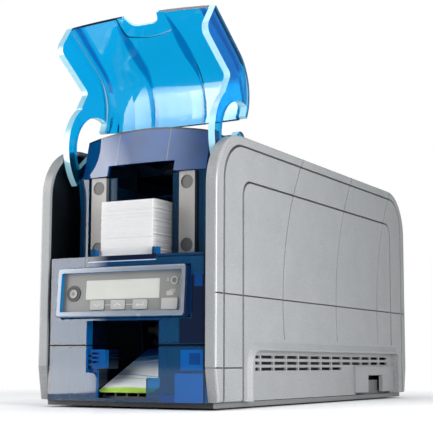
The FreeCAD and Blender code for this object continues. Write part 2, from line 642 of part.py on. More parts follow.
def card_blank(z0, z1, y0):
    half = CARD_W / 2
    return slab([(-half, y0, CARD_R), (half, y0, CARD_R), (half, y0 + CARD_L, CARD_R),
                 (-half, y0 + CARD_L, CARD_R)], "z", z0, z1)


def printed_card():
    """Finished card, lying on the sloping ribs of the output tray."""
    y0 = FRONT + 5.0
    z0 = card_ramp_z(y0)
    card = card_blank(z0, z0 + CARD_T, y0)
    card.rotate(V(0, y0, z0), V(1, 0, 0), 24.8)
    return card


# ---------------------------------------------------------------- hopper door
def door_station(x):
    """Closed section of the door's shell in a Y-Z plane: bow, rear height and end point."""
    share = min(abs(x) / DOOR_HALF, 1.0)
    bow = 6.0 * (1 - share ** 2)
    start = FRONT - bow
    if abs(x) > HUMP_HALF + 3:
        end = (FRONT + 38.0, PANEL_TOP - 3.5)
    else:
        inward = abs(x) / HUMP_HALF
        end = (FRONT + 25.5 + 4.5 * inward ** 2, PANEL_TOP + 9.2 - 4.6 * inward ** 2)
    return start, end


def door_section(x):
    """Wire of the shell at one station: straight front, then an arc back over the top."""
    start, (end_y, end_z) = door_station(x)
    low = UPPER_COVER_TOP + 2.0
    spring = PANEL_TOP - PANEL_CORNER_R
    dy, dz = end_y - start, end_z - spring
    r = (dy * dy + dz * dz) / (2 * dy)
    centre = V(x, start + r, spring)
    sweep = math.atan2(dz, r - dy)

    def at(radius, turn):
        return V(x, centre.y - radius * math.cos(turn), centre.z + radius * math.sin(turn))

    inner = r - DOOR_WALL
    swell = DOOR_SWELL if abs(x) <= DOOR_CREASE else 0.0
    a, b = V(x, start, low), V(x, start, spring)
    c, d = at(r, sweep), at(inner, sweep)
    e, f = V(x, start + DOOR_WALL, spring), V(x, start + DOOR_WALL, low)
    over, under = at(r + swell, sweep / 2), at(inner + swell, sweep / 2)
    return Part.Wire([Part.LineSegment(a, b).toShape(), Part.Arc(b, over, c).toShape(),
                      Part.LineSegment(c, d).toShape(), Part.Arc(d, under, e).toShape(),
                      Part.LineSegment(e, f).toShape(), Part.LineSegment(f, a).toShape()])


def door_side():
    """Flange, arched arm, spoke and hub of the door's right side, in the closed pose."""
    x0, x1 = DOOR_HALF - DOOR_FLANGE, DOOR_HALF
    low = UPPER_COVER_TOP + 2.0
    front, deep = FRONT, FRONT + 28.0
    plate = slab([(front, low, 0), (deep, low, 8), (deep, low + 52, 4), (FRONT + 46, low + 53, 0),
                  (DOOR_Y, DOOR_Z, 0), (FRONT + 38, PANEL_TOP - 3.5, 0), (front, PANEL_TOP, 51.5)],
                 "x", x0, x1)
    plate = plate.cut(rod("x", ARM_IN, x0 - 1, x1 + 1, DOOR_Y, DOOR_Z))
    ring = tube("x", ARM_OUT, ARM_IN, x0, x1, DOOR_Y, DOOR_Z)
    reach = 80.0
    first, last = math.radians(236), math.radians(350)
    fan = [(DOOR_Y, DOOR_Z, 0)]
    for i in range(5):
        turn = first + (last - first) * i / 4
        fan.append((DOOR_Y + reach * math.cos(turn), DOOR_Z + reach * math.sin(turn), 0))
    arm = ring.common(slab(fan, "x", x0, x1))
    spoke = box((x0, x1), (DOOR_Y, DOOR_Y + ARM_IN + 2), (DOOR_Z - 5, DOOR_Z + 5))
    spoke.rotate(V(0, DOOR_Y, DOOR_Z), V(1, 0, 0), -16)
    hub = rod("x", 8.0, x0, x1, DOOR_Y, DOOR_Z)
    hole = rod("x", DOOR_PIN_R + FIT, x0 - 1, x1 + 1, DOOR_Y, DOOR_Z)
    return join(plate, arm, spoke, hub).cut(hole)


def hopper_door():
    """Clear door: creased shell, thumb notch, side flanges and the arms that it swings on."""
    steps = [12.75, DOOR_CREASE, DOOR_CREASE + 3.5, 45.0, HUMP_HALF + 1, HUMP_HALF + 4.5, DOOR_HALF]
    stations = [-x for x in reversed(steps)] + [0] + steps
    halves = []
    for i in range(len(stations) - 1):
        sections = [door_section(x) for x in stations[i:i + 2]]
        halves.append(Part.makeLoft(sections, True, True))
    shell = join(*halves)
    low = UPPER_COVER_TOP + 2.0
    notch = slab([(-17, low - 1, 0), (17, low - 1, 0), (13, low + 11, 8), (-13, low + 11, 8)],
                 "y", FRONT - 12, FRONT + 8)
    edge = DOOR_CREASE - 1.5
    recess = slab([(-edge, low - 1, 0), (edge, low - 1, 0), (edge, low + 20, 5), (0, low + 26, 60),
                   (-edge, low + 20, 5)], "y", FRONT - 3.5, FRONT + 8)
    whole = join(shell.cut([notch, recess]), *both(door_side()))
    whole.rotate(V(0, DOOR_Y, DOOR_Z), V(1, 0, 0), -DOOR_OPEN)
    return whole


# ---------------------------------------------------------------- top cover
HUMP_TOP = PANEL_TOP + 11.5
HUMP_CROWN = 6.0
HEADER_LOW_Y, HEADER_TOP_Y = FRONT + 20.0, FRONT + 30.0
HEADER_BULGE = 7.0
STRIP_Z = (PANEL_TOP - 8.0, PANEL_TOP - 5.0)
STRIP_FRONT = DOOR_Y + ARM_OUT + 3.0
EAR_X = (HUMP_HALF, BAY - 9 - CLEAR)


def crown_z(y):
    """Height of the cover's raised middle on the centre line; it falls gently to the hinge."""
    return HUMP_TOP - (y - HEADER_TOP_Y) * (HUMP_TOP - PANEL_TOP) / (COVER_HINGE_Y - HEADER_TOP_Y)


def bowed(plane, at, half, edge, middle, far):
    """Face with one side bowed from `edge` at its ends to `middle`, and a straight far side."""
    points = [(-half, edge), (0, middle), (half, edge), (half, far), (-half, far)]
    a, b, c, d, e = [place(plane, p, q, at) for p, q in points]
    sides = [Part.Arc(a, b, c)] + [Part.LineSegment(p, q) for p, q in ((c, d), (d, e), (e, a))]
    return Part.Face(Part.Wire([side.toShape() for side in sides]))


def hump(wall):
    """Raised middle drawn in by a wall: arched along its length, with a bowed leaning front."""
    y0, y1 = FRONT, COVER_HINGE_Y + 20
    half = HUMP_HALF - wall
    top = crown_z(y0) - wall
    arch = bowed("y", y0, half, top - HUMP_CROWN, top, HEADER_BOTTOM - 20)
    arch = arch.extrude(V(0, y1 - y0, crown_z(y1) - crown_z(y0)))
    low, high = HEADER_BOTTOM - 20, HUMP_TOP + 20
    lean = (HEADER_TOP_Y - HEADER_LOW_Y) / (HUMP_TOP - HEADER_BOTTOM)
    front = HEADER_LOW_Y + wall + lean * (low - HEADER_BOTTOM)
    plan = bowed("z", low, half, front + HEADER_BULGE, front, y1 + 50)
    plan = plan.extrude(V(0, lean * (high - low), high - low))
    r = PANEL_TOP - COVER_HINGE_Z - wall
    end = COVER_HINGE_Y + r
    if wall:
        foot = [(end, HEADER_BOTTOM - 10, 0), (y0, HEADER_BOTTOM - 10, 0)]
    else:
        foot = [(end, COVER_HINGE_Z, 0), (COVER_HINGE_Y + 6, COVER_HINGE_Z, 0),
                (COVER_HINGE_Y, COVER_HINGE_Z - 7, 0), (FRONT + 120, COVER_HINGE_Z - 7, 0),
                (FRONT + 110, HEADER_BOTTOM, 0), (y0, HEADER_BOTTOM, 0)]
    side = slab(foot + [(y0, crown_z(y0) - wall + 5, 0), (end, crown_z(end) - wall, r)],
                "x", -half, half)
    return arch.common(plan).common(side)


def cover_side():
    """Right side's door boss and pin, hinge ear and the strip that closes the gap to the panel."""
    x0 = HUMP_HALF - 1
    door_boss = rod("x", 6.0, x0, DOOR_HALF - DOOR_FLANGE - 0.3, DOOR_Y, DOOR_Z)
    door_pin = rod("x", DOOR_PIN_R, x0, DOOR_HALF, DOOR_Y, DOOR_Z)
    ear = rod("x", 6.4, x0, EAR_X[1], COVER_HINGE_Y, COVER_HINGE_Z)
    strip = box((x0, BAY), (STRIP_FRONT, COVER_HINGE_Y - 13), STRIP_Z)
    return [door_boss, door_pin, ear, strip]


def top_cover():
    """Printing cover: header, crowned middle with its sides, side strips and stiffening ribs."""
    skin = hump(0).cut(hump(WALL))
    inside = hump(WALL / 2)
    rib = slab([(FRONT + 20, HEADER_BOTTOM + 9, 0), (FRONT + 42, HEADER_BOTTOM + 9, 0),
                (FRONT + 46, HUMP_TOP, 0), (FRONT + 20, HUMP_TOP, 0)], "x", 24.7, 26.3)
    fittings = [rib.common(inside)] + cover_side()
    half, height = HEADER_NOTCH
    notch = box((-half, half), (FRONT, FRONT + 40), (HEADER_BOTTOM - 1, HEADER_BOTTOM + height))
    hinge_hole = rod("x", HINGE_PIN_R + FIT, HUMP_HALF - WALL - 1, BAY, COVER_HINGE_Y, COVER_HINGE_Z)
    whole = join(skin, *fittings, *[mirrored(shape) for shape in fittings])
    return whole.cut([notch] + both(hinge_hole))


HEAD_Z = CARD_Z + 1.7
HEAD_HALF_Y = 12.0


def printhead_bracket():
    """Channel that carries the printhead, hung from two cross ribs between the cover's cheeks."""
    half = FRAME_IN - 3.0
    y0, y1 = PLATEN_Y - HEAD_HALF_Y, PLATEN_Y + HEAD_HALF_Y
    crest = crown_z(PLATEN_Y) - WALL - 4.0
    web = box((-half, half), (y0, y1), (HEAD_Z + 16, HEAD_Z + 18))
    legs = both(box((half - 2, half), (y0, y1), (HEAD_Z + 10, crest)))
    stay = box((-half, half), (PLATEN_Y - 1.5, PLATEN_Y + 1.5), (HEAD_Z + 16, crest))
    pad = box((-half, half), (y0, y1), (crest - 2, crest))
    ceiling = hump(WALL + FIT)
    ribs = [box((-HUMP_HALF, HUMP_HALF), (y - 1, y + 1), (crest - HUMP_CROWN, crest + 10)).common(ceiling)
            for y in (PLATEN_Y - 8, PLATEN_Y + 8)]
    return join(web, *legs, stay, pad, *ribs)


def thermal_printhead():
    """Printhead: finned heat sink over the ceramic heater bar that presses on the platen."""
    half = FRAME_IN - 5.0
    y0, y1 = PLATEN_Y - HEAD_HALF_Y + 1, PLATEN_Y + HEAD_HALF_Y - 1
    sink = box((-half, half), (y0, y1), (HEAD_Z + 4, HEAD_Z + 16))
    fins = [box((-half - 1, half + 1), (y, y + 1.8), (HEAD_Z + 8, HEAD_Z + 14.5))
            for y in (y0 + 3, y0 + 7, y0 + 11, y0 + 15)]
    bar = slab([(y0 + 4, HEAD_Z, 1), (y1 - 4, HEAD_Z, 1), (y1 - 1, HEAD_Z + 4.5, 0),
                (y0 + 1, HEAD_Z + 4.5, 0)], "x", -half, half)
    return join(sink.cut(fins), bar)


# ---------------------------------------------------------------- frames and card drive
SHAFTS = {
    "pick_roller": (PICK_Y, ROLLER_TOP - END_ROLLER_R, END_ROLLER_R, 10.0),
    "feed_roller": (FEED_Y, ROLLER_TOP - ROLLER_R, ROLLER_R, 27.0),
    "platen_roller": (PLATEN_Y, ROLLER_TOP - ROLLER_R, ROLLER_R, 28.0),
    "transport_roller": (REAR_ROLL_Y, ROLLER_TOP - END_ROLLER_R, END_ROLLER_R, 24.0),
}
UPPER_Z = CARD_Z + CARD_T + CARD_CLEAR + ROLLER_R
IDLERS = {
    "cleaning_roller": (FEED_Y, UPPER_Z, ROLLER_R, 27.0),
    "pinch_roller": (REAR_ROLL_Y, UPPER_Z, ROLLER_R, 24.0),
}
EXIT = {
    "exit_roller": (TRAY_BACK + 16.0, 55.0, 7.0, 24.0),
    "exit_idler": (TRAY_BACK + 7.8, 66.0, 6.0, 24.0),
}
SPOOLS = {"ribbon_supply": SUPPLY_Y, "ribbon_takeup": TAKEUP_Y}
SPOOL_PIN_R = 4.0


def inner_frame():
    """Right inner plate, which carries the rollers and the ribbon spools."""
    x0, x1 = FRAME_IN, FRAME_IN + FRAME_T
    y_rear = REAR_ROLL_Y + 22
    plate = slab([(HOPPER_Y + 4, CARD_Z - 24, 4), (TRAY_BACK - 8, CARD_Z - 24, 4),
                  (TRAY_BACK - 2, 44, 4), (TRAY_BACK + 28, 44, 4), (PLATEN_Y - 18, CARD_Z - 28, 10),
                  (y_rear, CARD_Z - 28, 4), (y_rear, CARD_Z + 24, 6), (TAKEUP_Y + 16, SPOOL_Z + 13, 10),
                  (SUPPLY_Y - 14, SPOOL_Z + 13, 6), (HOPPER_BACK, CARD_Z + 24, 6),
                  (HOPPER_Y + 4, CARD_Z + 24, 4)], "x", x0, x1)
    holes = []
    for y, z, _, _ in list(SHAFTS.values()) + list(IDLERS.values()) + list(EXIT.values()):
        holes.append(rod("x", SHAFT_R + FIT, x0 - 1, x1 + 1, y, z))
    for y in SPOOLS.values():
        holes.append(rod("x", SPOOL_PIN_R + FIT, x0 - 1, x1 + 1, y, SPOOL_Z))
    holes.append(rod("x", 12.0, x0 - 1, x1 + 1, PLATEN_Y + 26, CARD_Z + 12))
    return plate.cut(holes)


def outer_frame():
    """Right outer plate, from the base to the cover, with lightening holes."""
    x0, x1 = FRAME_OUT, FRAME_OUT + FRAME_T
    base, low_top, top = TRAY_FLOOR[1], DOOR_Z - ARM_OUT - 3, STRIP_Z[0] - 10
    step, rear = STRIP_FRONT + 6, FAN_FRONT - 5
    plate = slab([(HOPPER_Y + 4, base, 3), (rear, base, 3), (rear, top, 20), (step, top, 6),
                  (step - 20, low_top, 6), (HOPPER_Y + 4, low_top, 6)], "x", x0, x1)
    holes = [rod("x", 14.0, x0 - 1, x1 + 1, FRONT + 120 + 44 * i, 176) for i in range(3)]
    holes.append(rod("x", SHAFT_R + FIT, x0 - 1, x1 + 1, FLIP_Y, FLIP_Z))
    return plate.cut(holes)


def tie_bars():
    """Cross bars that join the inner plates to the outer ones."""
    bars = []
    for y, z in ((HOPPER_Y + 12, CARD_Z - 14), (REAR_ROLL_Y + 12, CARD_Z - 20),
                 (REAR_ROLL_Y + 14, CARD_Z + 14)):
        for x0, x1 in ((-FRAME_OUT, -FRAME_IN - FRAME_T), (FRAME_IN + FRAME_T, FRAME_OUT)):
            bars.append(rod("x", 3.5, x0, x1, y, z))
    return Part.makeCompound(bars)


def roller(y, z, r, half, reach_left=FRAME_IN + FRAME_T, reach_right=FRAME_IN + FRAME_T):
    """Rubber-covered roller with its shaft, from one frame plate to the other."""
    cover = rod("x", r, -half, half, y, z)
    shaft = rod("x", SHAFT_R, -reach_left, reach_right, y, z)
    return join(cover, shaft)


def pulley(y, z, r):
    """Belt pulley with two flanges, on the end of a roller's shaft."""
    x1 = BELT_X + 0.4
    x0 = BELT_X - 5.4
    groove = rod("x", r - 0.05, x0, x1, y, z)
    flanges = [rod("x", r + 0.9, x1 - 0.3, x1 + 0.6, y, z), rod("x", r + 0.9, x0 - 0.6, x0 + 0.3, y, z)]
    return join(groove, *flanges)


def drive_belt():
    """Belt round the pulleys of the lower rollers and of the motor."""
    y0, y1 = PICK_Y, REAR_ROLL_Y
    z = SHAFTS["pick_roller"][1]
    x0, x1 = BELT_X - 5, BELT_X

    def loop(r):
        return join(rod("x", r, x0, x1, y0, z), rod("x", r, x0, x1, y1, z),
                    box((x0, x1), (y0, y1), (z - r, z + r)))

    return loop(END_ROLLER_R + BELT_T).cut(loop(END_ROLLER_R))


def lower_roller(name):
    y, z, r, half = SHAFTS[name]
    body = roller(y, z, r, half, reach_left=-BELT_X)
    return join(body, pulley(y, z, r))


MOTOR_Z = SHAFTS["pick_roller"][1] - END_ROLLER_R + ROLLER_R


def motor_pulley():
    shaft = rod("x", 2.5, BELT_X - 7.2, BELT_X, MOTOR_Y, MOTOR_Z)
    return join(pulley(MOTOR_Y, MOTOR_Z, ROLLER_R), shaft)


def motor(y, z, x_face, size=35.0):
    """Square stepping motor between its face and the outer plate."""
    body = slab([(y - size / 2, z - size / 2, 4), (y + size / 2, z - size / 2, 4),
                 (y + size / 2, z + size / 2, 4), (y - size / 2, z + size / 2, 4)],
                "x", -FRAME_OUT, x_face - 1.5)
    nose = rod("x", 11, x_face - 1.6, x_face, y, z)
    bore = rod("x", 2.5 + FIT, x_face - 6, x_face + 1, y, z)
    return join(body, nose).cut(bore)


def exit_path_z(y):
    """Height of the sloping path between the printhead and the exit rollers."""
    return 61.0 + (y - (TRAY_BACK + 12.0)) * 0.743


def exit_chute():
    """Two guide sheets that bring a printed card down to the exit rollers."""
    half = FRAME_IN - 1.5
    y0, y1 = TRAY_BACK + 27.0, PLATEN_Y - 14.0
    z0, z1 = exit_path_z(y0) - 0.8, exit_path_z(y1) - 0.8
    lower = slab([(y0, z0, 0), (y1, z1, 6), (y1 + 22, z1 + 9, 0), (y1 + 22, z1 + 7.5, 0),
                  (y1, z1 - 1.8, 6), (y0, z0 - 1.8, 0)], "x", -half, half)
    y2, y3 = TRAY_BACK + 19.0, PLATEN_Y - 28.0
    z2, z3 = exit_path_z(y2) + 2.6, exit_path_z(y3) + 2.6
    upper = slab([(y2, z2, 0), (y3, z3, 4), (y3, z3 + 6, 0), (y3 - 1.5, z3 + 6, 0),
                  (y3 - 1.5, z3 + 1, 4), (y2, z2 + 1.8, 0)], "x", -half, half)
    low_feet = both(box((half - 1, FRAME_IN), (y1 - 1, y1 + 5), (z1 - 1.4, z1 + 2)))
    high_feet = both(box((half - 1, FRAME_IN), (y3 - 3, y3), (z3 - 1, z3 + 4)))
    return Part.makeCompound([join(lower, *low_feet), join(upper, *high_feet)])


# ---------------------------------------------------------------- ribbon
ROLL_R = {"ribbon_supply": 13.5, "ribbon_takeup": 11.0}


def spool(y):
    """Ribbon core with two flanges and the pins that seat in the inner plates."""
    core = tube("x", 8.0, 6.0, -30, 30, y, SPOOL_Z)
    flanges = [rod("x", 15.5, -31, -29, y, SPOOL_Z), rod("x", 15.5, 29, 31, y, SPOOL_Z)]
    pins = [rod("x", SPOOL_PIN_R, -FRAME_IN - FRAME_T, -30, y, SPOOL_Z),
            rod("x", SPOOL_PIN_R, 30, FRAME_IN + FRAME_T, y, SPOOL_Z)]
    return join(core, *flanges, *pins)


def ribbon_roll(name):
    return tube("x", ROLL_R[name], 8.0, -28.5, 28.5, SPOOLS[name], SPOOL_Z)


def ribbon_film():
    """Ribbon from the supply roll, under the printhead and up to the take-up roll."""
    low = CARD_Z + CARD_T + 0.35
    t = 0.25
    y0, y1 = PLATEN_Y - 16, PLATEN_Y + 16
    a = (SUPPLY_Y + 11.5, SPOOL_Z - 8.6)
    b = (TAKEUP_Y - 9.3, SPOOL_Z - 7.2)
    lower = [(*a, 0), (y0, low, 3), (y1, low, 3), (*b, 0)]
    upper = [(b[0] - t, b[1] + t, 0), (y1, low + t, 3), (y0, low + t, 3), (a[0] + t, a[1] + t, 0)]
    return slab(lower + upper, "x", -28.0, 28.0)


# ---------------------------------------------------------------- turning module
FLIP_Z = CARD_Z + CARD_T / 2
FLIP_R = 42.0


def flipper_carriage():
    """Carriage that turns a card over: two guide plates in end cheeks with stub shafts."""
    half = CARD_W / 2 + 2.5
    y0, y1 = FLIP_Y - 34, FLIP_Y + 34
    plates = []
    for side in (-1, 1):
        z = sorted((FLIP_Z + side * 1.2, FLIP_Z + side * 3.2))
        plate = box((-half, half), (y0, y1), z)
        plates.append(plate.cut(box((-15, 15), (FLIP_Y - 9, FLIP_Y + 9), (z[0] - 1, z[1] + 1))))
    cheeks = []
    for cheek in both(slab([(y0, FLIP_Z - 6, 3), (FLIP_Y - 12, FLIP_Z - 14, 6), (FLIP_Y + 12, FLIP_Z - 14, 6),
                            (y1, FLIP_Z - 6, 3), (y1, FLIP_Z + 6, 3), (FLIP_Y + 12, FLIP_Z + 14, 6),
                            (FLIP_Y - 12, FLIP_Z + 14, 6), (y0, FLIP_Z + 6, 3)],
                           "x", half, half + 3)):
        cheeks.append(cheek)
    shafts = both(rod("x", SHAFT_R, half + 2, FRAME_OUT + FRAME_T, FLIP_Y, FLIP_Z))
    rollers = [rod("x", 1.55, half - 0.1, half + 4, FLIP_Y, z) for z in FLIP_ROLLER_Z]
    holes = []
    for hole in rollers:
        holes += both(hole)
    return join(*plates, *cheeks, *shafts).cut(holes)


FLIP_ROLLER_R = 6.0
FLIP_ROLLER_Z = (FLIP_Z - CARD_T / 2 - 0.3 - FLIP_ROLLER_R, FLIP_Z + CARD_T / 2 + 0.3 + FLIP_ROLLER_R)


def flipper_roller(z):
    """Small nip roller inside the carriage."""
    half = CARD_W / 2 + 2.5
    return join(rod("x", FLIP_ROLLER_R, -13, 13, FLIP_Y, z),
                rod("x", 1.5, -half - 2.5, half + 2.5, FLIP_Y, z))


# ---------------------------------------------------------------- electrics
def main_circuit_board():
    x0 = FRAME_OUT - 5.0
    y0, y1 = PLATEN_Y - 40, SUPPLY_BOX[1][0] + 20
    board = box((x0, x0 + 1.6), (y0, y1), (18, 88))
    posts = [rod("x", 2.5, x0 + 1.6, FRAME_OUT, y, z) for y in (y0 + 6, y1 - 6) for z in (24, 82)]
    return join(board, *posts)


def board_components():
    """Chips, connectors and a finned heat sink on the board's inner face."""
    x1 = FRAME_OUT - 5.0
    y0 = PLATEN_Y - 40
    chips = []
    for dy, z, w, h, t in ((20, 40, 28, 28, 3), (62, 52, 18, 12, 2.5), (62, 34, 18, 12, 2.5),
                           (92, 28, 8, 46, 9), (112, 60, 14, 14, 2), (150, 26, 10, 40, 9)):
        chips.append(box((x1 - t, x1), (y0 + dy, y0 + dy + w), (z, z + h)))
    for i in range(3):
        chips.append(rod("x", 4.0, x1 - 12, x1, y0 + 116 + 10 * i, 34))
    return Part.makeCompound(chips)


SUPPLY_BOX = ((4.0, 62.0), (REAR - 124.0, REAR - 32.0), (TRAY_FLOOR[1] + 2, 62.0))


def power_supply():
    """Vented metal case of the power supply."""
    case = box(*SUPPLY_BOX)
    (x0, x1), (y0, y1), (_, z1) = SUPPLY_BOX
    slots = [box((x0 + 8, x1 - 8), (y0 + 10 + 8 * i, y0 + 13 + 8 * i), (z1 - 1.5, z1 + 1))
             for i in range(9)]
    return case.cut(slots)


def fan_housing():
    y0, y1 = REAR - 10 - FAN_T, REAR - 10
    half = FAN_SIZE / 2
    block = slab(rectangle(FAN_X, FAN_Z, FAN_SIZE, FAN_SIZE, 5), "y", y0, y1)
    block = block.cut(rod("y", 28, y0 + -1, y1 + 1, FAN_X, FAN_Z))
    hub = rod("y", 10, y0, y0 + 3, FAN_X, FAN_Z)
    struts = [box((FAN_X - half + 1, FAN_X + half - 1), (y0, y0 + 2), (FAN_Z - 1.5, FAN_Z + 1.5)),
              box((FAN_X - 1.5, FAN_X + 1.5), (y0, y0 + 2), (FAN_Z - half + 1, FAN_Z + half - 1))]
    axle = rod("y", 1.5, y0 + 2, y0 + 12, FAN_X, FAN_Z)
    return join(block, hub, *struts, axle)


def fan_impeller():
    """Fan wheel: cup hub with seven pitched blades."""
    y0 = REAR - 10 - FAN_T
    hub = rod("y", 10, y0 + 3.6, y0 + 13.5, FAN_X, FAN_Z)
    blades = []
    for i in range(7):
        blade = box((FAN_X - 1, FAN_X + 1), (y0 + 4.6, y0 + 12.6), (FAN_Z + 8, FAN_Z + 26))
        blade.rotate(V(FAN_X, y0 + 8.6, FAN_Z), V(0, 0, 1), 35)
        blade.rotate(V(FAN_X, 0, FAN_Z), V(0, 1, 0), 360.0 / 7 * i)
        blades.append(blade)
    bore = rod("y", 1.5 + FIT, y0, y0 + 12.2, FAN_X, FAN_Z)
    return join(hub, *blades).cut(bore)


# ---------------------------------------------------------------- the whole machine
def build():
    keep("right_side_panel", side_panel(cable_port=True))
    keep("left_side_panel", mirrored(side_panel(cable_port=False)))
    keep("cable_port_cover", cable_port_cover())
    keep("base_tray", base_tray())
    keep("rubber_feet", rubber_feet())
    keep("rear_panel", rear_panel())
    keep("power_inlet", power_inlet())
    keep("data_ports", data_ports())
    keep("rear_housing", rear_housing())
    keep("lower_front_cover", lower_front_cover())
    keep("upper_front_cover", upper_front_cover())
    keep("output_tray", output_tray())
    keep("display_bezel", display_bezel())
    keep("control_panel", control_panel())
    keep("display_glass", display_glass())
    keep("display_board", display_board())
    for name, centre in KEYS.items():
        keep(name, key(*centre, *KEY_SIZE))
    keep("user_button", key(*USER_BUTTON, *USER_BUTTON_SIZE))
    keep("power_button", power_button())
    keep("power_button_ring", power_button_ring())
    keep("status_light", status_light())
    keep("hopper_frame", hopper_frame())
    keep("guide_plates", Part.makeCompound(both(guide_plate())))
    keep("hopper_floor", hopper_floor())
    keep("card_stack", card_blank(CARD_Z, STACK_TOP, STACK_Y))
    keep("printed_card", printed_card())
    keep("hopper_door", hopper_door())
    keep("top_cover", top_cover())
    keep("printhead_bracket", printhead_bracket())
    keep("thermal_printhead", thermal_printhead())
    keep("inner_frames", Part.makeCompound(both(inner_frame())))
    keep("outer_frames", Part.makeCompound(both(outer_frame())))
    keep("tie_bars", tie_bars())
    for name in SHAFTS:
        keep(name, lower_roller(name))
    for name, (y, z, r, half) in list(IDLERS.items()) + list(EXIT.items()):
        keep(name, roller(y, z, r, half))
    keep("drive_belt", drive_belt())
    keep("motor_pulley", motor_pulley())
    keep("drive_motor", motor(MOTOR_Y, MOTOR_Z, BELT_X - 7.0))
    keep("exit_chute", exit_chute())
    for name, y in SPOOLS.items():
        keep(name + "_spool", spool(y))
        keep(name + "_roll", ribbon_roll(name))
    keep("ribbon_film", ribbon_film())
    keep("flipper_carriage", flipper_carriage())
    keep("flipper_roller_lower", flipper_roller(FLIP_ROLLER_Z[0]))
    keep("flipper_roller_upper", flipper_roller(FLIP_ROLLER_Z[1]))
    keep("main_circuit_board", main_circuit_board())
    keep("board_components", board_components())
    keep("power_supply", power_supply())
    keep("fan_housing", fan_housing())
    keep("fan_impeller", fan_impeller())


build()
for name, shape in PARTS.items():
    shape.exportStep("parts/" + name + ".step")
print(len(PARTS), "parts")
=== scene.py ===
import math
import random

import bpy
from mathutils import Matrix, Vector


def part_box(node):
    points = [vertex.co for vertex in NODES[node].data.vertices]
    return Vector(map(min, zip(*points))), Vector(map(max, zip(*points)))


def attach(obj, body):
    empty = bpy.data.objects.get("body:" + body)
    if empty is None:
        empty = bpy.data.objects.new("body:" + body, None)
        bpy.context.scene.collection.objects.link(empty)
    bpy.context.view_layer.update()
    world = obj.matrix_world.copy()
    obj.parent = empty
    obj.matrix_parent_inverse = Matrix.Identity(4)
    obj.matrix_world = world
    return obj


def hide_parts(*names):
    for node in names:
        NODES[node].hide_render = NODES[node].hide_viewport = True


# Looks of a desktop card printer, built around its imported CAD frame.
# Everything is in metres in the frame's own axes, X right, Y back, Z up, unless the comment beside
# or above it says mm. Masks in the materials use object coordinates, so they ride with their piece.

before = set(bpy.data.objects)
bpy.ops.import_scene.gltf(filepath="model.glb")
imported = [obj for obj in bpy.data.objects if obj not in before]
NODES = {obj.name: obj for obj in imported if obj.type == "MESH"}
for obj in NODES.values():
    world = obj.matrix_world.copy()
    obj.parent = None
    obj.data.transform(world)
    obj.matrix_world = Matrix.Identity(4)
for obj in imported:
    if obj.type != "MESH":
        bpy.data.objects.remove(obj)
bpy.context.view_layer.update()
MM = 0.001

# ---------------------------------------------------------------- camera
CAMERA_AT = Vector((0.51305, -1.00080, 0.03656))
CAMERA_YAW = math.radians(28.665)      # towards -X
CAMERA_PITCH = math.radians(7.414)
CAMERA_ROLL = math.radians(0.218)
SENSOR_MM = 36.0
LENS_MM = 94.82


def add_camera():
    """Camera at the place and with the lens that were worked out from the photograph."""
    data = bpy.data.cameras.new("camera")
    data.sensor_width = SENSOR_MM
    data.lens = LENS_MM
    data.clip_start = 0.01
    data.clip_end = 50
    camera = bpy.data.objects.new("camera", data)
    level = math.cos(CAMERA_PITCH)
    ahead = Vector((-math.sin(CAMERA_YAW) * level, math.cos(CAMERA_YAW) * level,
                    math.sin(CAMERA_PITCH)))
    right = Vector((math.cos(CAMERA_YAW), math.sin(CAMERA_YAW), 0))
    up = right.cross(ahead)
    tilted_right = right * math.cos(CAMERA_ROLL) + up * math.sin(CAMERA_ROLL)
    tilted_up = up * math.cos(CAMERA_ROLL) - right * math.sin(CAMERA_ROLL)
    turn = Matrix((tilted_right, tilted_up, -ahead)).transposed()
    camera.matrix_world = Matrix.Translation(CAMERA_AT) @ turn.to_4x4()
    bpy.context.scene.collection.objects.link(camera)
    bpy.context.scene.camera = camera


# ---------------------------------------------------------------- material helpers
GRAIN_HEIGHT = 0.2 * MM
ACRYLIC_IOR = 1.49


def new_material(name):
    """New material with its node tree and its main shader."""
    material = bpy.data.materials.new(name)
    material.use_nodes = True
    tree = material.node_tree
    shader = tree.nodes["Principled BSDF"]
    return material, tree, shader


def place_noise(tree, scale, detail=2.0):
    """Noise in object coordinates, the same size on every piece."""
    coords = tree.nodes.new("ShaderNodeTexCoord")
    noise = tree.nodes.new("ShaderNodeTexNoise")
    noise.inputs["Scale"].default_value = scale
    noise.inputs["Detail"].default_value = detail
    tree.links.new(coords.outputs["Object"], noise.inputs["Vector"])
    return noise


def vary_colour(tree, shader, colour, spread, scale):
    """Base colour that drifts gently between a darker and a lighter shade."""
    noise = place_noise(tree, scale)
    ramp = tree.nodes.new("ShaderNodeValToRGB")
    ramp.color_ramp.elements[0].position = 0.3
    ramp.color_ramp.elements[1].position = 0.7
    for element, gain in zip(ramp.color_ramp.elements, (1 - spread, 1 + spread)):
        element.color = [min(c * gain, 1.0) for c in colour] + [1.0]
    tree.links.new(noise.outputs["Fac"], ramp.inputs["Fac"])
    tree.links.new(ramp.outputs["Color"], shader.inputs["Base Color"])


def raise_grain(tree, shader, noise, strength):
    """Bump that follows a noise texture."""
    bump = tree.nodes.new("ShaderNodeBump")
    bump.inputs["Strength"].default_value = strength
    bump.inputs["Distance"].default_value = GRAIN_HEIGHT
    tree.links.new(noise.outputs["Fac"], bump.inputs["Height"])
    tree.links.new(bump.outputs["Normal"], shader.inputs["Normal"])


def add_bump(tree, shader, scale, strength):
    """Fine grain of its own noise."""
    raise_grain(tree, shader, place_noise(tree, scale, 3.0), strength)


def vary_roughness(tree, shader, low, high, scale):
    """Gloss that drifts gently between two values of roughness."""
    noise = place_noise(tree, scale)
    spread = tree.nodes.new("ShaderNodeMapRange")
    spread.inputs["To Min"].default_value = low
    spread.inputs["To Max"].default_value = high
    tree.links.new(noise.outputs["Fac"], spread.inputs["Value"])
    tree.links.new(spread.outputs["Result"], shader.inputs["Roughness"])


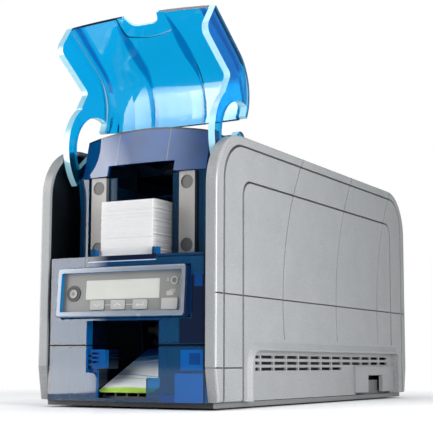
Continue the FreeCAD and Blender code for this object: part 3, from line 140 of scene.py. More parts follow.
def calculate(tree, operation, *values):
    """Maths node; each value is a number or another node's output."""
    node = tree.nodes.new("ShaderNodeMath")
    node.operation = operation
    for socket, value in zip(node.inputs, values):
        if isinstance(value, (int, float)):
            socket.default_value = value
        else:
            tree.links.new(value, socket)
    return node.outputs["Value"]


def object_axes(tree, kind="Object"):
    """X, Y and Z outputs of the object coordinates or of the surface normal."""
    coords = tree.nodes.new("ShaderNodeTexCoord")
    split = tree.nodes.new("ShaderNodeSeparateXYZ")
    tree.links.new(coords.outputs[kind], split.inputs["Vector"])
    return split.outputs["X"], split.outputs["Y"], split.outputs["Z"]


def blend_into(tree, shader, socket, factor, colour):
    """Mixes another colour over whatever feeds a colour socket."""
    mix = tree.nodes.new("ShaderNodeMix")
    mix.data_type = "RGBA"
    first, second = [s for s in mix.inputs if s.type == "RGBA"]
    was = shader.inputs[socket].links[0].from_socket
    tree.links.new(was, first)
    second.default_value = (*colour, 1.0)
    tree.links.new(factor, mix.inputs["Factor"])
    result = [s for s in mix.outputs if s.type == "RGBA"][0]
    tree.links.new(result, shader.inputs[socket])


def plain_plastic(name, colour, rough, grain=0.0, spread=0.04):
    """Moulded plastic with a slight drift of colour and gloss, and a fine grain."""
    material, tree, shader = new_material(name)
    vary_colour(tree, shader, colour, spread, 35.0)
    vary_roughness(tree, shader, rough - 0.05, rough + 0.06, 60.0)
    if grain:
        add_bump(tree, shader, 2500.0, grain)
    return material


def clear_plastic(name, colour, rough, clear, depth=40.0, deep=(0.05, 0.50, 0.86)):
    """Tinted see-through plastic: a tint at the skin, and more of it where the light goes deep."""
    material, tree, shader = new_material(name)
    vary_colour(tree, shader, colour, 0.05, 12.0)
    vary_roughness(tree, shader, rough, rough + 0.03, 40.0)
    shader.inputs["Transmission Weight"].default_value = clear
    shader.inputs["IOR"].default_value = ACRYLIC_IOR
    soak = tree.nodes.new("ShaderNodeVolumeAbsorption")
    soak.inputs["Color"].default_value = (*deep, 1.0)
    soak.inputs["Density"].default_value = depth
    tree.links.new(soak.outputs["Volume"], tree.nodes["Material Output"].inputs["Volume"])
    return material


def band(tree, value, low, high):
    """One where a value lies between two others; each may be a number or an output."""
    return calculate(tree, "MULTIPLY", calculate(tree, "GREATER_THAN", value, low),
                     calculate(tree, "LESS_THAN", value, high))


def both(tree, first, second):
    """Product of two masks: one only where both are one."""
    return calculate(tree, "MULTIPLY", first, second)


def distance(tree, first, second):
    """Length of the hypotenuse over two outputs."""
    squares = [calculate(tree, "MULTIPLY", value, value) for value in (first, second)]
    return calculate(tree, "SQRT", calculate(tree, "ADD", *squares))


def stretch(tree, value, low, high):
    """Map Range node that takes a value from low to high onto nought to one."""
    reach = tree.nodes.new("ShaderNodeMapRange")
    reach.inputs["From Min"].default_value = low
    reach.inputs["From Max"].default_value = high
    tree.links.new(value, reach.inputs["Value"])
    return reach


def profile(tree, value, low, high, points):
    """Curve drawn through points over the stretch of a value from low to high."""
    reach = stretch(tree, value, low, high)
    curve = tree.nodes.new("ShaderNodeFloatCurve")
    dots = curve.mapping.curves[0].points
    dots[0].location, dots[1].location = points[0], points[-1]
    for place in points[1:-1]:
        dots.new(*place)
    curve.mapping.update()
    tree.links.new(reach.outputs["Result"], curve.inputs["Value"])
    return curve.outputs["Value"]


# ---------------------------------------------------------------- hopper door
# Heights in metres; distances from the middle and widths in mm, the same on the left and the right.
# Painted shade: a darker leaf is painted into each crease.
LEAF_Z = (0.283, 0.331)            # the dark leaf at a crease opens and closes between these heights
LEAF_CURVE = ((0.0, 0.0), (0.25, 0.58), (0.43, 0.97), (0.57, 1.0), (0.68, 0.9), (0.83, 0.55),
              (0.94, 0.2), (1.0, 0.04))
FOOT_Z = (0.240, 0.285)            # and its foot between these
FOOT_CURVE = ((0.0, 0.9), (0.5, 1.0), (0.8, 0.5), (1.0, 0.0))
CREASE_X = 25.5
CREASE_WIDTHS = (8.8, 5.4)         # of the leaf and of its foot
# Painted shade: a dark step is painted beside each flange.
CORNER_X = 66.0                    # outer edge of the dark step beside each flange
CORNER_WIDTHS = (2.0, 6.0)         # of that step, low and high
# Painted shade in the recess under the notch.
RECESS_Z = (0.3165, 0.3225)        # the recess under the notch
TOP_CUT_Z = 0.3235                 # the door's top edge lies above this
NOTCH_HALF = 18.5
FLANGE_X = 69.2                    # inner face of the side flanges
SKIN_NORMAL = (0.57, 0.82)         # Y and Z of the direction that the open door's skin faces
DOOR_CLEAR = 0.97                  # transmission of the skin
EDGE_CLEAR = 0.25                  # and of the frosty cut edges


def door_plastic():
    """Clear blue door: painted shade in the creases, the corners, under the notch and along the top edge;
    its frosty cut edges are painted pale as a glow.
    """
    material = clear_plastic("sky", (0.004, 0.42, 0.82), 0.015, DOOR_CLEAR, depth=18.0,
                             deep=(0.02, 0.64, 0.90))
    tree = material.node_tree
    shader = tree.nodes["Principled BSDF"]
    x, _, z = object_axes(tree)
    reach = calculate(tree, "ABSOLUTE", x)
    from_crease = calculate(tree, "ABSOLUTE", calculate(tree, "SUBTRACT", reach, CREASE_X * MM))
    # Painted shade: darker leaves and their feet are painted into the creases.
    crease_shades = ((LEAF_Z, LEAF_CURVE, CREASE_WIDTHS[0], (0.001, 0.19, 0.53)),
              (FOOT_Z, FOOT_CURVE, CREASE_WIDTHS[1], (0.002, 0.29, 0.68)))
    for heights, curve, width, colour in crease_shades:
        half = calculate(tree, "MULTIPLY", profile(tree, z, *heights, curve), width / 2 * MM)
        crease_shade = both(tree, calculate(tree, "LESS_THAN", from_crease, half), band(tree, z, *heights))
        blend_into(tree, shader, "Base Color", crease_shade, colour)
    # Painted shade: the dark step in each corner beside a flange.
    low_width, high_width = CORNER_WIDTHS
    rise = stretch(tree, z, *LEAF_Z).outputs["Result"]
    inner_edge = calculate(tree, "MULTIPLY_ADD", rise, (low_width - high_width) * MM,
                           (CORNER_X - low_width) * MM)
    corner = both(tree, band(tree, reach, inner_edge, CORNER_X * MM), band(tree, z, *LEAF_Z))
    blend_into(tree, shader, "Base Color", corner, (0.004, 0.14, 0.50))
    across, toward, upward = object_axes(tree, "Normal")
    facing = calculate(tree, "MULTIPLY_ADD", toward, SKIN_NORMAL[0],
                       calculate(tree, "MULTIPLY", upward, SKIN_NORMAL[1]))
    cut = both(tree, calculate(tree, "LESS_THAN", reach, FLANGE_X * MM),
               calculate(tree, "LESS_THAN", calculate(tree, "ABSOLUTE", facing), 0.3))
    # Painted shade in the recess under the notch.
    recess = both(tree, cut, band(tree, z, *RECESS_Z))
    blend_into(tree, shader, "Base Color", recess, (0.002, 0.13, 0.42))
    top_cut = both(tree, cut, calculate(tree, "GREATER_THAN", z, TOP_CUT_Z))
    lip = both(tree, top_cut, calculate(tree, "LESS_THAN", reach, NOTCH_HALF * MM))
    # Painted shade: the top cut edge outside the notch is painted darker.
    outline = calculate(tree, "SUBTRACT", top_cut, lip)
    blend_into(tree, shader, "Base Color", outline, (0.01, 0.16, 0.50))
    # Painted highlight: the cut edges of the flanges and the notch are painted pale as a glow; being
    # frosty, they also let less light through.
    thin = calculate(tree, "LESS_THAN", calculate(tree, "ABSOLUTE", across), 0.4)
    flange = both(tree, thin, calculate(tree, "GREATER_THAN", reach, FLANGE_X * MM))
    edge = calculate(tree, "MAXIMUM", flange, lip)
    blend_into(tree, shader, "Base Color", edge, (0.50, 0.86, 0.97))
    clear = calculate(tree, "MULTIPLY_ADD", edge, EDGE_CLEAR - DOOR_CLEAR, DOOR_CLEAR)
    tree.links.new(clear, shader.inputs["Transmission Weight"])
    return material


# ---------------------------------------------------------------- painted and moulded parts
SHELL_GREY = (0.225, 0.233, 0.237)
FLECK_GREY = (0.46, 0.475, 0.48)
# Painted shade: the inside of the side walls is painted near black.
WALL_X = (80.0, 83.0)              # the inside of the side walls, between these distances, mm
# Painted shade: the floors of the channels and seams are painted near black.
GROOVE_X = (83.8, 85.7)            # floors of the channels and seams, mm
# X times the normal's X, mm, tells which way a face looks: below -FACING_IN or above FACING_OUT.
FACING_IN = 60.0
FACING_OUT = 79.0
# Painted shade: the bezel's outer ends are painted navy, nearly black.
BEZEL_END = 10.0                   # the same product is above this on the bezel's outer ends
PIT_DEPTH = 0.4                    # of the round dimples below the guide plates' face, mm
CARD_WHITE = (0.74, 0.74, 0.745)


def silver_paint():
    """Silver-grey shell: fine sparkling grain outside, painted shade inside and on the grooves' floors."""
    material, tree, shader = new_material("shell")
    vary_colour(tree, shader, SHELL_GREY, 0.05, 35.0)
    grain = place_noise(tree, 1300.0, 3.0)
    fleck = calculate(tree, "MULTIPLY_ADD", grain.outputs["Fac"], 1.6, -0.72)
    blend_into(tree, shader, "Base Color", calculate(tree, "MAXIMUM", fleck, 0.0), FLECK_GREY)
    x, _, _ = object_axes(tree)
    across, _, _ = object_axes(tree, "Normal")
    reach = calculate(tree, "ABSOLUTE", x)
    outward = calculate(tree, "MULTIPLY", x, across)
    # Painted shade on the inward faces of the side walls.
    facing_in = calculate(tree, "LESS_THAN", outward, -FACING_IN * MM)
    inside = both(tree, facing_in, band(tree, reach, WALL_X[0] * MM, WALL_X[1] * MM))
    blend_into(tree, shader, "Base Color", inside, (0.004, 0.006, 0.008))
    # Painted shade on the floors of the channels and seams.
    facing_out = calculate(tree, "GREATER_THAN", outward, FACING_OUT * MM)
    groove_shade = both(tree, facing_out, band(tree, reach, GROOVE_X[0] * MM, GROOVE_X[1] * MM))
    blend_into(tree, shader, "Base Color", groove_shade, (0.030, 0.031, 0.033))
    vary_roughness(tree, shader, 0.34, 0.46, 60.0)
    raise_grain(tree, shader, grain, 0.15)
    return material


def bezel_paint():
    """Blue frame whose face is a painted reflection in lavender-grey, with azure flanks and painted shade
    in navy on its left and right outer ends.
    """
    material, tree, shader = new_material("bezel")
    # Painted reflection: the face is lavender-grey, the white surroundings mirrored in blue plastic.
    vary_colour(tree, shader, (0.21, 0.24, 0.285), 0.06, 25.0)
    x, _, _ = object_axes(tree)
    across, facing, _ = object_axes(tree, "Normal")
    flank = calculate(tree, "LESS_THAN", calculate(tree, "ABSOLUTE", facing), 0.35)
    blend_into(tree, shader, "Base Color", flank, (0.005, 0.21, 0.50))
    # Painted shade: navy, nearly black, on the left and right outer ends.
    end = calculate(tree, "GREATER_THAN", calculate(tree, "MULTIPLY", x, across), BEZEL_END * MM)
    blend_into(tree, shader, "Base Color", end, (0.003, 0.012, 0.05))
    shader.inputs["Metallic"].default_value = 0.35
    vary_roughness(tree, shader, 0.20, 0.30, 50.0)
    add_bump(tree, shader, 1500.0, 0.08)
    return material


def guide_sheet():
    """Grey guide plates with painted shade in their round dimples, which are told apart by their depth."""
    material = plain_plastic("guide", (0.43, 0.415, 0.395), 0.45, grain=0.15)
    tree = material.node_tree
    _, y, _ = object_axes(tree)
    # Painted shade: the round dimples are painted darker.
    dimple_shade = calculate(tree, "GREATER_THAN", y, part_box("guide_plates")[0].y + PIT_DEPTH * MM)
    blend_into(tree, tree.nodes["Principled BSDF"], "Base Color", dimple_shade, (0.13, 0.125, 0.12))
    return material


def tray_plastic():
    """Dark base tray whose long sides are a darker grey of the shell's kind."""
    material = plain_plastic("tray", (0.018, 0.019, 0.022), 0.5, grain=0.2)
    tree = material.node_tree
    across, _, _ = object_axes(tree, "Normal")
    side = calculate(tree, "GREATER_THAN", calculate(tree, "ABSOLUTE", across), 0.6)
    blend_into(tree, tree.nodes["Principled BSDF"], "Base Color", side, (0.15, 0.155, 0.158))
    return material


def card_plastic():
    """White cards: on the right-hand side of the stack, painted shade shows their edges as uneven dark
    streaks.
    """
    material = plain_plastic("card", CARD_WHITE, 0.3, spread=0.02)
    tree = material.node_tree
    _, _, z = object_axes(tree)
    across, _, _ = object_axes(tree, "Normal")
    # Painted shade: uneven dark streaks along the card edges on the right-hand side of the stack only.
    streak_shade = tree.nodes.new("ShaderNodeTexNoise")
    streak_shade.noise_dimensions = "1D"
    streak_shade.inputs["Scale"].default_value = 700.0
    streak_shade.inputs["Detail"].default_value = 3.0
    tree.links.new(z, streak_shade.inputs["W"])
    amount = calculate(tree, "MULTIPLY_ADD", streak_shade.outputs["Fac"], 1.5, -0.15)
    side = calculate(tree, "GREATER_THAN", across, 0.5)
    shade = calculate(tree, "MULTIPLY", side, calculate(tree, "MINIMUM", amount, 0.95))
    blend_into(tree, tree.nodes["Principled BSDF"], "Base Color", shade, (0.22, 0.22, 0.23))
    return material


# ---------------------------------------------------------------- navy see-through covers
NAVY = (0.012, 0.23, 0.56)
NAVY_CLEAR = 0.86                  # transmission where nothing lies behind
AZURE = (0.001, 0.085, 0.32)
DEEP_AZURE = (0.001, 0.04, 0.18)
NIGHT = (0.002, 0.008, 0.03)
# Painted highlight: a pale line for the lit edge under the cards.
LEDGE_HIGHLIGHT = (0.45, 0.55, 0.75)    # the pale line under the cards
# Shapes drawn on the front covers, for what shows through them, their dark outlines and a pale
# line that is a painted highlight: X0, X1, Z0, Z1 in mm, colour.
FRONT_MARKS = (
    (54.4, 74.5, 31.0, 47.0, AZURE), (62.0, 71.5, 35.5, 44.5, DEEP_AZURE),
    (49.5, 74.5, 5.5, 28.5, AZURE), (36.0, 49.5, 5.5, 12.0, DEEP_AZURE),
    (-35.0, -18.0, 29.0, 48.5, AZURE), (-35.0, -31.0, 41.3, 43.2, NIGHT),
    (-35.0, -31.0, 36.2, 39.2, NIGHT), (-35.0, -31.0, 31.8, 34.4, NIGHT),
    (53.0, 74.8, 52.0, 72.0, NIGHT), (63.5, 74.8, 72.0, 106.0, NIGHT),
    (66.0, 73.0, 97.0, 106.0, DEEP_AZURE), (-34.5, 31.5, 119.9, 124.5, NIGHT),
    (-38.5, -36.8, 112.5, 124.5, NIGHT), (-34.5, 31.5, 119.1, 119.9, LEDGE_HIGHLIGHT),
    (32.5, 74.8, 121.0, 122.2, NIGHT), (73.9, 77.0, 2.0, 126.0, NIGHT),
    (-77.0, -73.9, 2.0, 126.0, NIGHT), (-77.0, 77.0, 49.6, 51.2, NIGHT),
)
# Painted shade: the card slot's walls are painted near black behind this depth.
SLOT_WALL_Y = -212.5               # the walls of the card slot are dark behind this depth, mm
HOOD_DIP = 6.0 * MM / (61.5 * MM) ** 2      # the crown's fall toward its sides, 1/m
HOOD_SEAM_X = (24.9, 26.1)         # the stiffening ribs behind the front, to either side, mm
HOOD_FACE_Y = -183.0               # the top cover's front face lies before this, mm
# Painted shade: the top cover's inner faces are painted near black behind this depth.
HOOD_INNER_Y = -186.0              # and its dark inner faces behind this, mm
HOOD_FACING_IN = 10.0              # X times the normal's X is below minus this there, mm
# Painted shade: a dark outline is painted under the crown, this high.
BROW = 1.7                         # height of the dark outline under the crown, mm
# Painted shade: the hopper frame is painted near black behind this depth.
POST_FACE_Y = -189.0               # the hopper frame is dark behind this, mm


def navy_plastic(name):
    """Clear navy plastic, with its node tree and main shader."""
    material = clear_plastic(name, NAVY, 0.02, NAVY_CLEAR)
    tree = material.node_tree
    return material, tree, tree.nodes["Principled BSDF"]


def dim_where(tree, shader, mask, loss):
    """Lets less light through the navy plastic where a mask is one."""
    tree.links.new(calculate(tree, "MULTIPLY_ADD", mask, -loss, NAVY_CLEAR),
                   shader.inputs["Transmission Weight"])


def front_plastic():
    """Navy front cover, with the shapes that show through it drawn on its face, a painted highlight under
    the cards and painted shade deep in the card slot.
    """
    material, tree, shader = navy_plastic("front")
    x, y, z = object_axes(tree)
    across, facing, _ = object_axes(tree, "Normal")
    ahead = calculate(tree, "LESS_THAN", facing, -0.6)
    covered = 0.0
    for x0, x1, z0, z1, colour in FRONT_MARKS:
        here = both(tree, band(tree, x, x0 * MM, x1 * MM), band(tree, z, z0 * MM, z1 * MM))
        here = both(tree, here, ahead)
        blend_into(tree, shader, "Base Color", here, colour)
        covered = calculate(tree, "MAXIMUM", covered, here)
    wall = calculate(tree, "GREATER_THAN", calculate(tree, "ABSOLUTE", across), 0.7)
    blend_into(tree, shader, "Base Color", wall, (0.003, 0.085, 0.28))
    # Painted shade deep in the card slot.
    deep_wall_shade = both(tree, wall, calculate(tree, "GREATER_THAN", y, SLOT_WALL_Y * MM))
    blend_into(tree, shader, "Base Color", deep_wall_shade, (0.001, 0.004, 0.012))
    covered = calculate(tree, "MAXIMUM", covered, calculate(tree, "MULTIPLY", wall, 0.8))
    covered = calculate(tree, "MAXIMUM", covered, deep_wall_shade)
    dim_where(tree, shader, covered, 0.80)
    return material


def hood_plastic():
    """Navy top cover: painted shade inside, two faint upright seams and a dark upper outline in front that
    is painted shade.
    """
    material, tree, shader = navy_plastic("hood")
    x, y, z = object_axes(tree)
    across, facing, up = object_axes(tree, "Normal")
    face = both(tree, calculate(tree, "LESS_THAN", y, HOOD_FACE_Y * MM),
                calculate(tree, "LESS_THAN", facing, -0.5))
    cloud = place_noise(tree, 28.0)
    cloudy = calculate(tree, "MULTIPLY_ADD", cloud.outputs["Fac"], 2.0, -0.6)
    patch = both(tree, face, cloudy)
    blend_into(tree, shader, "Base Color", face, (0.002, 0.065, 0.235))
    blend_into(tree, shader, "Base Color", patch, (0.004, 0.115, 0.42))
    seams = band(tree, calculate(tree, "ABSOLUTE", x), HOOD_SEAM_X[0] * MM, HOOD_SEAM_X[1] * MM)
    blend_into(tree, shader, "Base Color", both(tree, seams, face), (0.14, 0.20, 0.30))
    # Painted shade: a dark outline along the top of the cover's front, under the crown.
    dip = calculate(tree, "MULTIPLY", calculate(tree, "MULTIPLY", x, x), -HOOD_DIP)
    crest = calculate(tree, "ADD", dip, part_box("top_cover")[1].z - BROW * MM)
    brow_shade = both(tree, face, calculate(tree, "GREATER_THAN", z, crest))
    blend_into(tree, shader, "Base Color", brow_shade, (0.002, 0.010, 0.04))
    # Painted shade: the top cover's inner faces, and those that look down, are painted near black.
    inner = calculate(tree, "LESS_THAN", calculate(tree, "MULTIPLY", x, across), -HOOD_FACING_IN * MM)
    inner = calculate(tree, "MAXIMUM", inner, calculate(tree, "LESS_THAN", up, -0.3))
    inner = both(tree, inner, calculate(tree, "GREATER_THAN", y, HOOD_INNER_Y * MM))
    blend_into(tree, shader, "Base Color", inner, (0.002, 0.008, 0.025))
    dim_where(tree, shader, calculate(tree, "MAXIMUM", face, inner), 0.55)
    return material


def post_plastic():
    """Navy hopper frame with painted shade behind its front."""
    material, tree, shader = navy_plastic("post")
    _, y, _ = object_axes(tree)
    # Painted shade behind the hopper frame's front.
    behind = calculate(tree, "GREATER_THAN", y, POST_FACE_Y * MM)
    blend_into(tree, shader, "Base Color", behind, (0.002, 0.010, 0.025))
    dim_where(tree, shader, behind, 0.66)
    return material


# ---------------------------------------------------------------- power button, metal, card print
# The pale ring is a painted highlight and the darker middle is painted shade.
CAP_RADII = (3.6, 1.5)             # outside of the pale ring and of its darker middle, mm


def power_cap():
    """Dished round button: dark rim, a pale ring that is a painted highlight, and a darker middle that is
    painted shade.
    """
    material = plain_plastic("button", (0.015, 0.015, 0.015), 0.5)
    tree = material.node_tree
    low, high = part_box("power_button")
    x, _, z = object_axes(tree)
    dx = calculate(tree, "SUBTRACT", x, (low.x + high.x) / 2)
    dz = calculate(tree, "SUBTRACT", z, (low.z + high.z) / 2)
    radius = distance(tree, dx, dz)
    # Painted highlight in the pale ring, painted shade in the darker middle.
    for edge, colour in zip(CAP_RADII, ((0.30, 0.30, 0.29), (0.13, 0.13, 0.13))):
        disc = calculate(tree, "LESS_THAN", radius, edge * MM)
        blend_into(tree, tree.nodes["Principled BSDF"], "Base Color", disc, colour)
    return material


def metal(name, colour, rough, grain=0.15):
    """Metal with a slight drift of colour and gloss, and a fine grain."""
    material, tree, shader = new_material(name)
    shader.inputs["Metallic"].default_value = 1.0
    vary_colour(tree, shader, colour, 0.05, 40.0)
    vary_roughness(tree, shader, rough - 0.06, rough + 0.08, 80.0)
    add_bump(tree, shader, 1800.0, grain)
    return material


# the card's print from its near edge to its far one: place, colour
CARD_BANDS = ((0.0, (0.30, 0.52, 0.05)), (0.13, (0.45, 0.66, 0.10)), (0.16, (0.90, 0.92, 0.93)),
              (0.55, (0.88, 0.92, 0.96)), (0.68, (0.45, 0.66, 0.88)), (0.82, (0.06, 0.20, 0.60)),
              (1.0, (0.03, 0.12, 0.48)))
# curved stripes of the card's print: place along the card, swing, half width, colour
CARD_SWOOPS = ((0.80, 0.05, 0.02, (0.10, 0.55, 0.80)), (0.72, 0.06, 0.012, (0.70, 0.85, 0.95)),
               (0.36, 0.03, 0.010, (0.35, 0.55, 0.75)), (0.27, 0.03, 0.006, (0.45, 0.66, 0.10)))
SWOOP_TURNS = 70.0                 # radians of a stripe's wave per metre across the card
SWOOP_SHIFT = 9.0                  # sets the waves of the stripes out of step


def printed_card_material():
    """Generic card print: blue sky above, pale middle, green foot, drawn along the sloping card."""
    material, tree, shader = new_material("card_print")
    low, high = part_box("printed_card")
    x, y, _ = object_axes(tree)
    along = stretch(tree, y, low.y, high.y).outputs["Result"]
    ripple = place_noise(tree, 30.0)
    ramp = tree.nodes.new("ShaderNodeValToRGB")
    elements = ramp.color_ramp.elements
    while len(elements) < len(CARD_BANDS):
        elements.new(0.5)
    for element, (place, colour) in zip(elements, CARD_BANDS):
        element.position = place
        element.color = (*colour, 1.0)
    wavy = calculate(tree, "MULTIPLY_ADD", ripple.outputs["Fac"], 0.10, along)
    tree.links.new(wavy, ramp.inputs["Fac"])
    tree.links.new(ramp.outputs["Color"], shader.inputs["Base Color"])
    for lift, swing, wide, colour in CARD_SWOOPS:
        curl = calculate(tree, "SINE", calculate(tree, "MULTIPLY_ADD", x, SWOOP_TURNS, lift * SWOOP_SHIFT))
        off = calculate(tree, "SUBTRACT", along, calculate(tree, "MULTIPLY_ADD", curl, swing, lift))
        line = calculate(tree, "LESS_THAN", calculate(tree, "ABSOLUTE", off), wide)
        blend_into(tree, shader, "Base Color", line, colour)
    shader.inputs["Roughness"].default_value = 0.22
    return material


# ---------------------------------------------------------------- which node wears what
def make_materials():
    """Every material of the printer by its short name."""
    return {
        "shell": silver_paint(),
        "tray": tray_plastic(),
        "rubber": plain_plastic("rubber", (0.02, 0.02, 0.02), 0.75, grain=0.4),
        "navy_deep": clear_plastic("navy_deep", (0.015, 0.10, 0.36), 0.03, 0.80),
        "sky": door_plastic(),
        "bezel": bezel_paint(),
        "panel": plain_plastic("panel", (0.160, 0.162, 0.153), 0.38, grain=0.15),
        "key": plain_plastic("key", (0.35, 0.35, 0.335), 0.35, grain=0.1),
        "light": plain_plastic("light", (0.11, 0.11, 0.11), 0.3),
        "button": power_cap(),
        "glyph": plain_plastic("glyph", (0.52, 0.52, 0.50), 0.4),
        "faint_glyph": plain_plastic("faint_glyph", (0.34, 0.34, 0.32), 0.4),
        "ring": plain_plastic("ring", (0.004, 0.004, 0.004), 0.5),
        "display": plain_plastic("display", (0.56, 0.57, 0.53), 0.25),
        "guide": guide_sheet(),
        "card": card_plastic(),
        "front": front_plastic(),
        "hood": hood_plastic(),
        "post": post_plastic(),
        "black": plain_plastic("black", (0.012, 0.012, 0.014), 0.42, grain=0.1),
        "steel": metal("steel", (0.42, 0.43, 0.45), 0.32),
        "dark_steel": metal("dark_steel", (0.05, 0.052, 0.056), 0.40),
        "bright": metal("bright", (0.62, 0.63, 0.64), 0.22, 0.05),
        "roller": plain_plastic("roller", (0.035, 0.035, 0.04), 0.7, grain=0.3),
        "clean": plain_plastic("clean", (0.05, 0.22, 0.50), 0.45),
        "pulley": plain_plastic("pulley", (0.60, 0.58, 0.52), 0.45),
        "board": plain_plastic("board", (0.01, 0.10, 0.045), 0.35, spread=0.2),
        "ribbon": plain_plastic("ribbon", (0.10, 0.02, 0.08), 0.3),
        "print": printed_card_material(),
    }


NODE_MATERIALS = {
    "right_side_panel": "shell", "left_side_panel": "shell", "cable_port_cover": "shell",
    "base_tray": "tray", "rubber_feet": "rubber", "rear_panel": "steel", "power_inlet": "black",
    "data_ports": "bright", "rear_housing": "navy_deep", "lower_front_cover": "front",
    "upper_front_cover": "front", "output_tray": "black", "display_bezel": "bezel",
    "control_panel": "panel", "display_glass": "display", "display_board": "board",
    "power_button_ring": "ring", "status_light": "light", "hopper_frame": "post",
    "guide_plates": "guide", "hopper_floor": "black", "card_stack": "card", "printed_card": "print",
    "inner_frames": "dark_steel", "outer_frames": "black", "tie_bars": "bright", "drive_belt": "rubber",
    "drive_motor": "black", "exit_chute": "black", "ribbon_film": "ribbon",
    "main_circuit_board": "board", "board_components": "black", "power_supply": "steel",
    "fan_housing": "black", "top_cover": "hood", "printhead_bracket": "steel",
    "thermal_printhead": "bright", "hopper_door": "sky", "key_down": "key", "key_up": "key",
    "key_enter": "key", "user_button": "key", "power_button": "button", "pick_roller": "roller",
    "feed_roller": "roller", "platen_roller": "roller", "transport_roller": "roller",
    "cleaning_roller": "clean", "pinch_roller": "roller", "exit_roller": "roller",
    "exit_idler": "roller", "motor_pulley": "pulley", "fan_impeller": "black",
    "ribbon_supply_spool": "pulley", "ribbon_takeup_spool": "pulley",
    "ribbon_supply_roll": "ribbon", "ribbon_takeup_roll": "ribbon", "flipper_carriage": "black",
    "flipper_roller_lower": "roller", "flipper_roller_upper": "roller",
}


def dress_nodes():
    """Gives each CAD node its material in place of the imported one."""
    for name, node in NODES.items():
        node.data.materials.clear()
        node.data.materials.append(MATERIALS[NODE_MATERIALS[name]])


# ---------------------------------------------------------------- pieces
def link_piece(name, mesh, material, body):
    """Puts a new piece into the scene, on its body and with its slot."""
    piece = bpy.data.objects.new(name, mesh)
    bpy.context.scene.collection.objects.link(piece)
    mesh.materials.append(MATERIALS[material])
    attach(piece, body)
    return piece


# one blank card of the stack, mm
CARD_THICK = 0.76
CARD_CORNER = 3.18
CARD_GAP = 0.06                    # between two cards
CARD_BEVEL = 0.08
CARD_SWAY = 0.25                   # how far a card may lie out of line to either side
CARD_JUT = 0.45                    # and toward the rear
STRAY_SHARE = 0.12                 # share of the cards that lie further to the rear
STRAY_JUT = 0.5
CORNER_STEPS = 6


def rounded_rectangle(x0, x1, y0, y1, r):
    """Corner points of a rounded rectangle, anticlockwise."""
    points = []
    for cx, cy, start in ((x1 - r, y0 + r, -90), (x1 - r, y1 - r, 0), (x0 + r, y1 - r, 90),
                          (x0 + r, y0 + r, 180)):
        for step in range(CORNER_STEPS + 1):
            turn = math.radians(start + 90 * step / CORNER_STEPS)
            points.append((cx + r * math.cos(turn), cy + r * math.sin(turn)))
    return points


def card_stack():
    """Blank cards one by one, each a little out of line with its neighbours."""
    low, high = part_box("card_stack")
    thickness = CARD_THICK * MM
    edge = CARD_BEVEL * MM
    corner = CARD_CORNER * MM
    count = round((high.z - low.z) / thickness)
    dice = random.Random(7)
    verts, faces = [], []
    for i in range(count):
        dx, dy = dice.uniform(-CARD_SWAY, CARD_SWAY) * MM, dice.uniform(0, CARD_JUT) * MM
        if dice.random() < STRAY_SHARE:
            dy += STRAY_JUT * MM
        z0 = low.z + i * thickness + CARD_GAP / 2 * MM
        z1 = z0 + thickness - CARD_GAP * MM
        x0, x1, y0, y1 = low.x + dx, high.x + dx, low.y + dy, high.y + dy
        ring = rounded_rectangle(x0, x1, y0, y1, corner)
        inner = rounded_rectangle(x0 + edge, x1 - edge, y0 + edge, y1 - edge, corner - edge)
        start, n = len(verts), len(ring)
        levels = ((inner, z0), (ring, z0 + edge), (ring, z1 - edge), (inner, z1))
        for outline, z in levels:
            verts += [(x, y, z) for x, y in outline]
        faces.append([start + k for k in reversed(range(n))])
        faces.append([start + 3 * n + k for k in range(n)])
        for level in range(3):
            a, b = start + level * n, start + (level + 1) * n
            faces += [[a + k, a + (k + 1) % n, b + (k + 1) % n, b + k] for k in range(n)]
    mesh = bpy.data.meshes.new("blank_cards")
    mesh.from_pydata(verts, [], faces)
    mesh.update()
    piece = link_piece("blank_cards", mesh, "card", "chassis")
    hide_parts("card_stack")


# The control panel, in mm as it stands before it leans back.
PANEL_PIVOT = (-228.0, 74.0)       # Y and Z of the line that it leans about
PANEL_LEAN = math.radians(4.2)
PANEL_FACE = -224.0
KEY_FACE = PANEL_FACE - 0.9
RING_FACE = PANEL_FACE - 0.3
MARK_THICK = 0.14
MARK_SUNK = 0.02                   # how far a sign reaches into the face that carries it


def on_panel(x, y, z):
    """Point given on the upright control panel, in mm, moved to the leaning one, in metres."""
    dy, dz = y - PANEL_PIVOT[0], z - PANEL_PIVOT[1]
    return (x * MM, (PANEL_PIVOT[0] + dy * math.cos(PANEL_LEAN) + dz * math.sin(PANEL_LEAN)) * MM,
            (PANEL_PIVOT[1] + dz * math.cos(PANEL_LEAN) - dy * math.sin(PANEL_LEAN)) * MM)


def add_mark(name, loops, face, body, material="glyph"):
    """Raised moulded signs: flat outlines on the control panel or on a key."""
    verts, faces = [], []
    for loop in loops:
        start, n = len(verts), len(loop)
        verts += [on_panel(x, face - MARK_THICK, z) for x, z in loop]
        verts += [on_panel(x, face + MARK_SUNK, z) for x, z in loop]
        faces.append([start + k for k in range(n)])
        faces.append([start + n + k for k in reversed(range(n))])
        faces += [[start + (k + 1) % n, start + k, start + n + k, start + n + (k + 1) % n]
                  for k in range(n)]
    mesh = bpy.data.meshes.new(name)
    mesh.from_pydata(verts, [], faces)
    mesh.update()
    link_piece(name, mesh, material, body)


def shifted(loop, x, z, flip=1):
    """Outline moved to a place, and turned upside down where flip is -1."""
    moved = [(x + a, z + flip * b) for a, b in loop]
    return moved if flip == 1 else moved[::-1]


def block(x0, x1, z0, z1):
    """Outline of an upright rectangle."""
    return [(x0, z0), (x1, z0), (x1, z1), (x0, z1)]


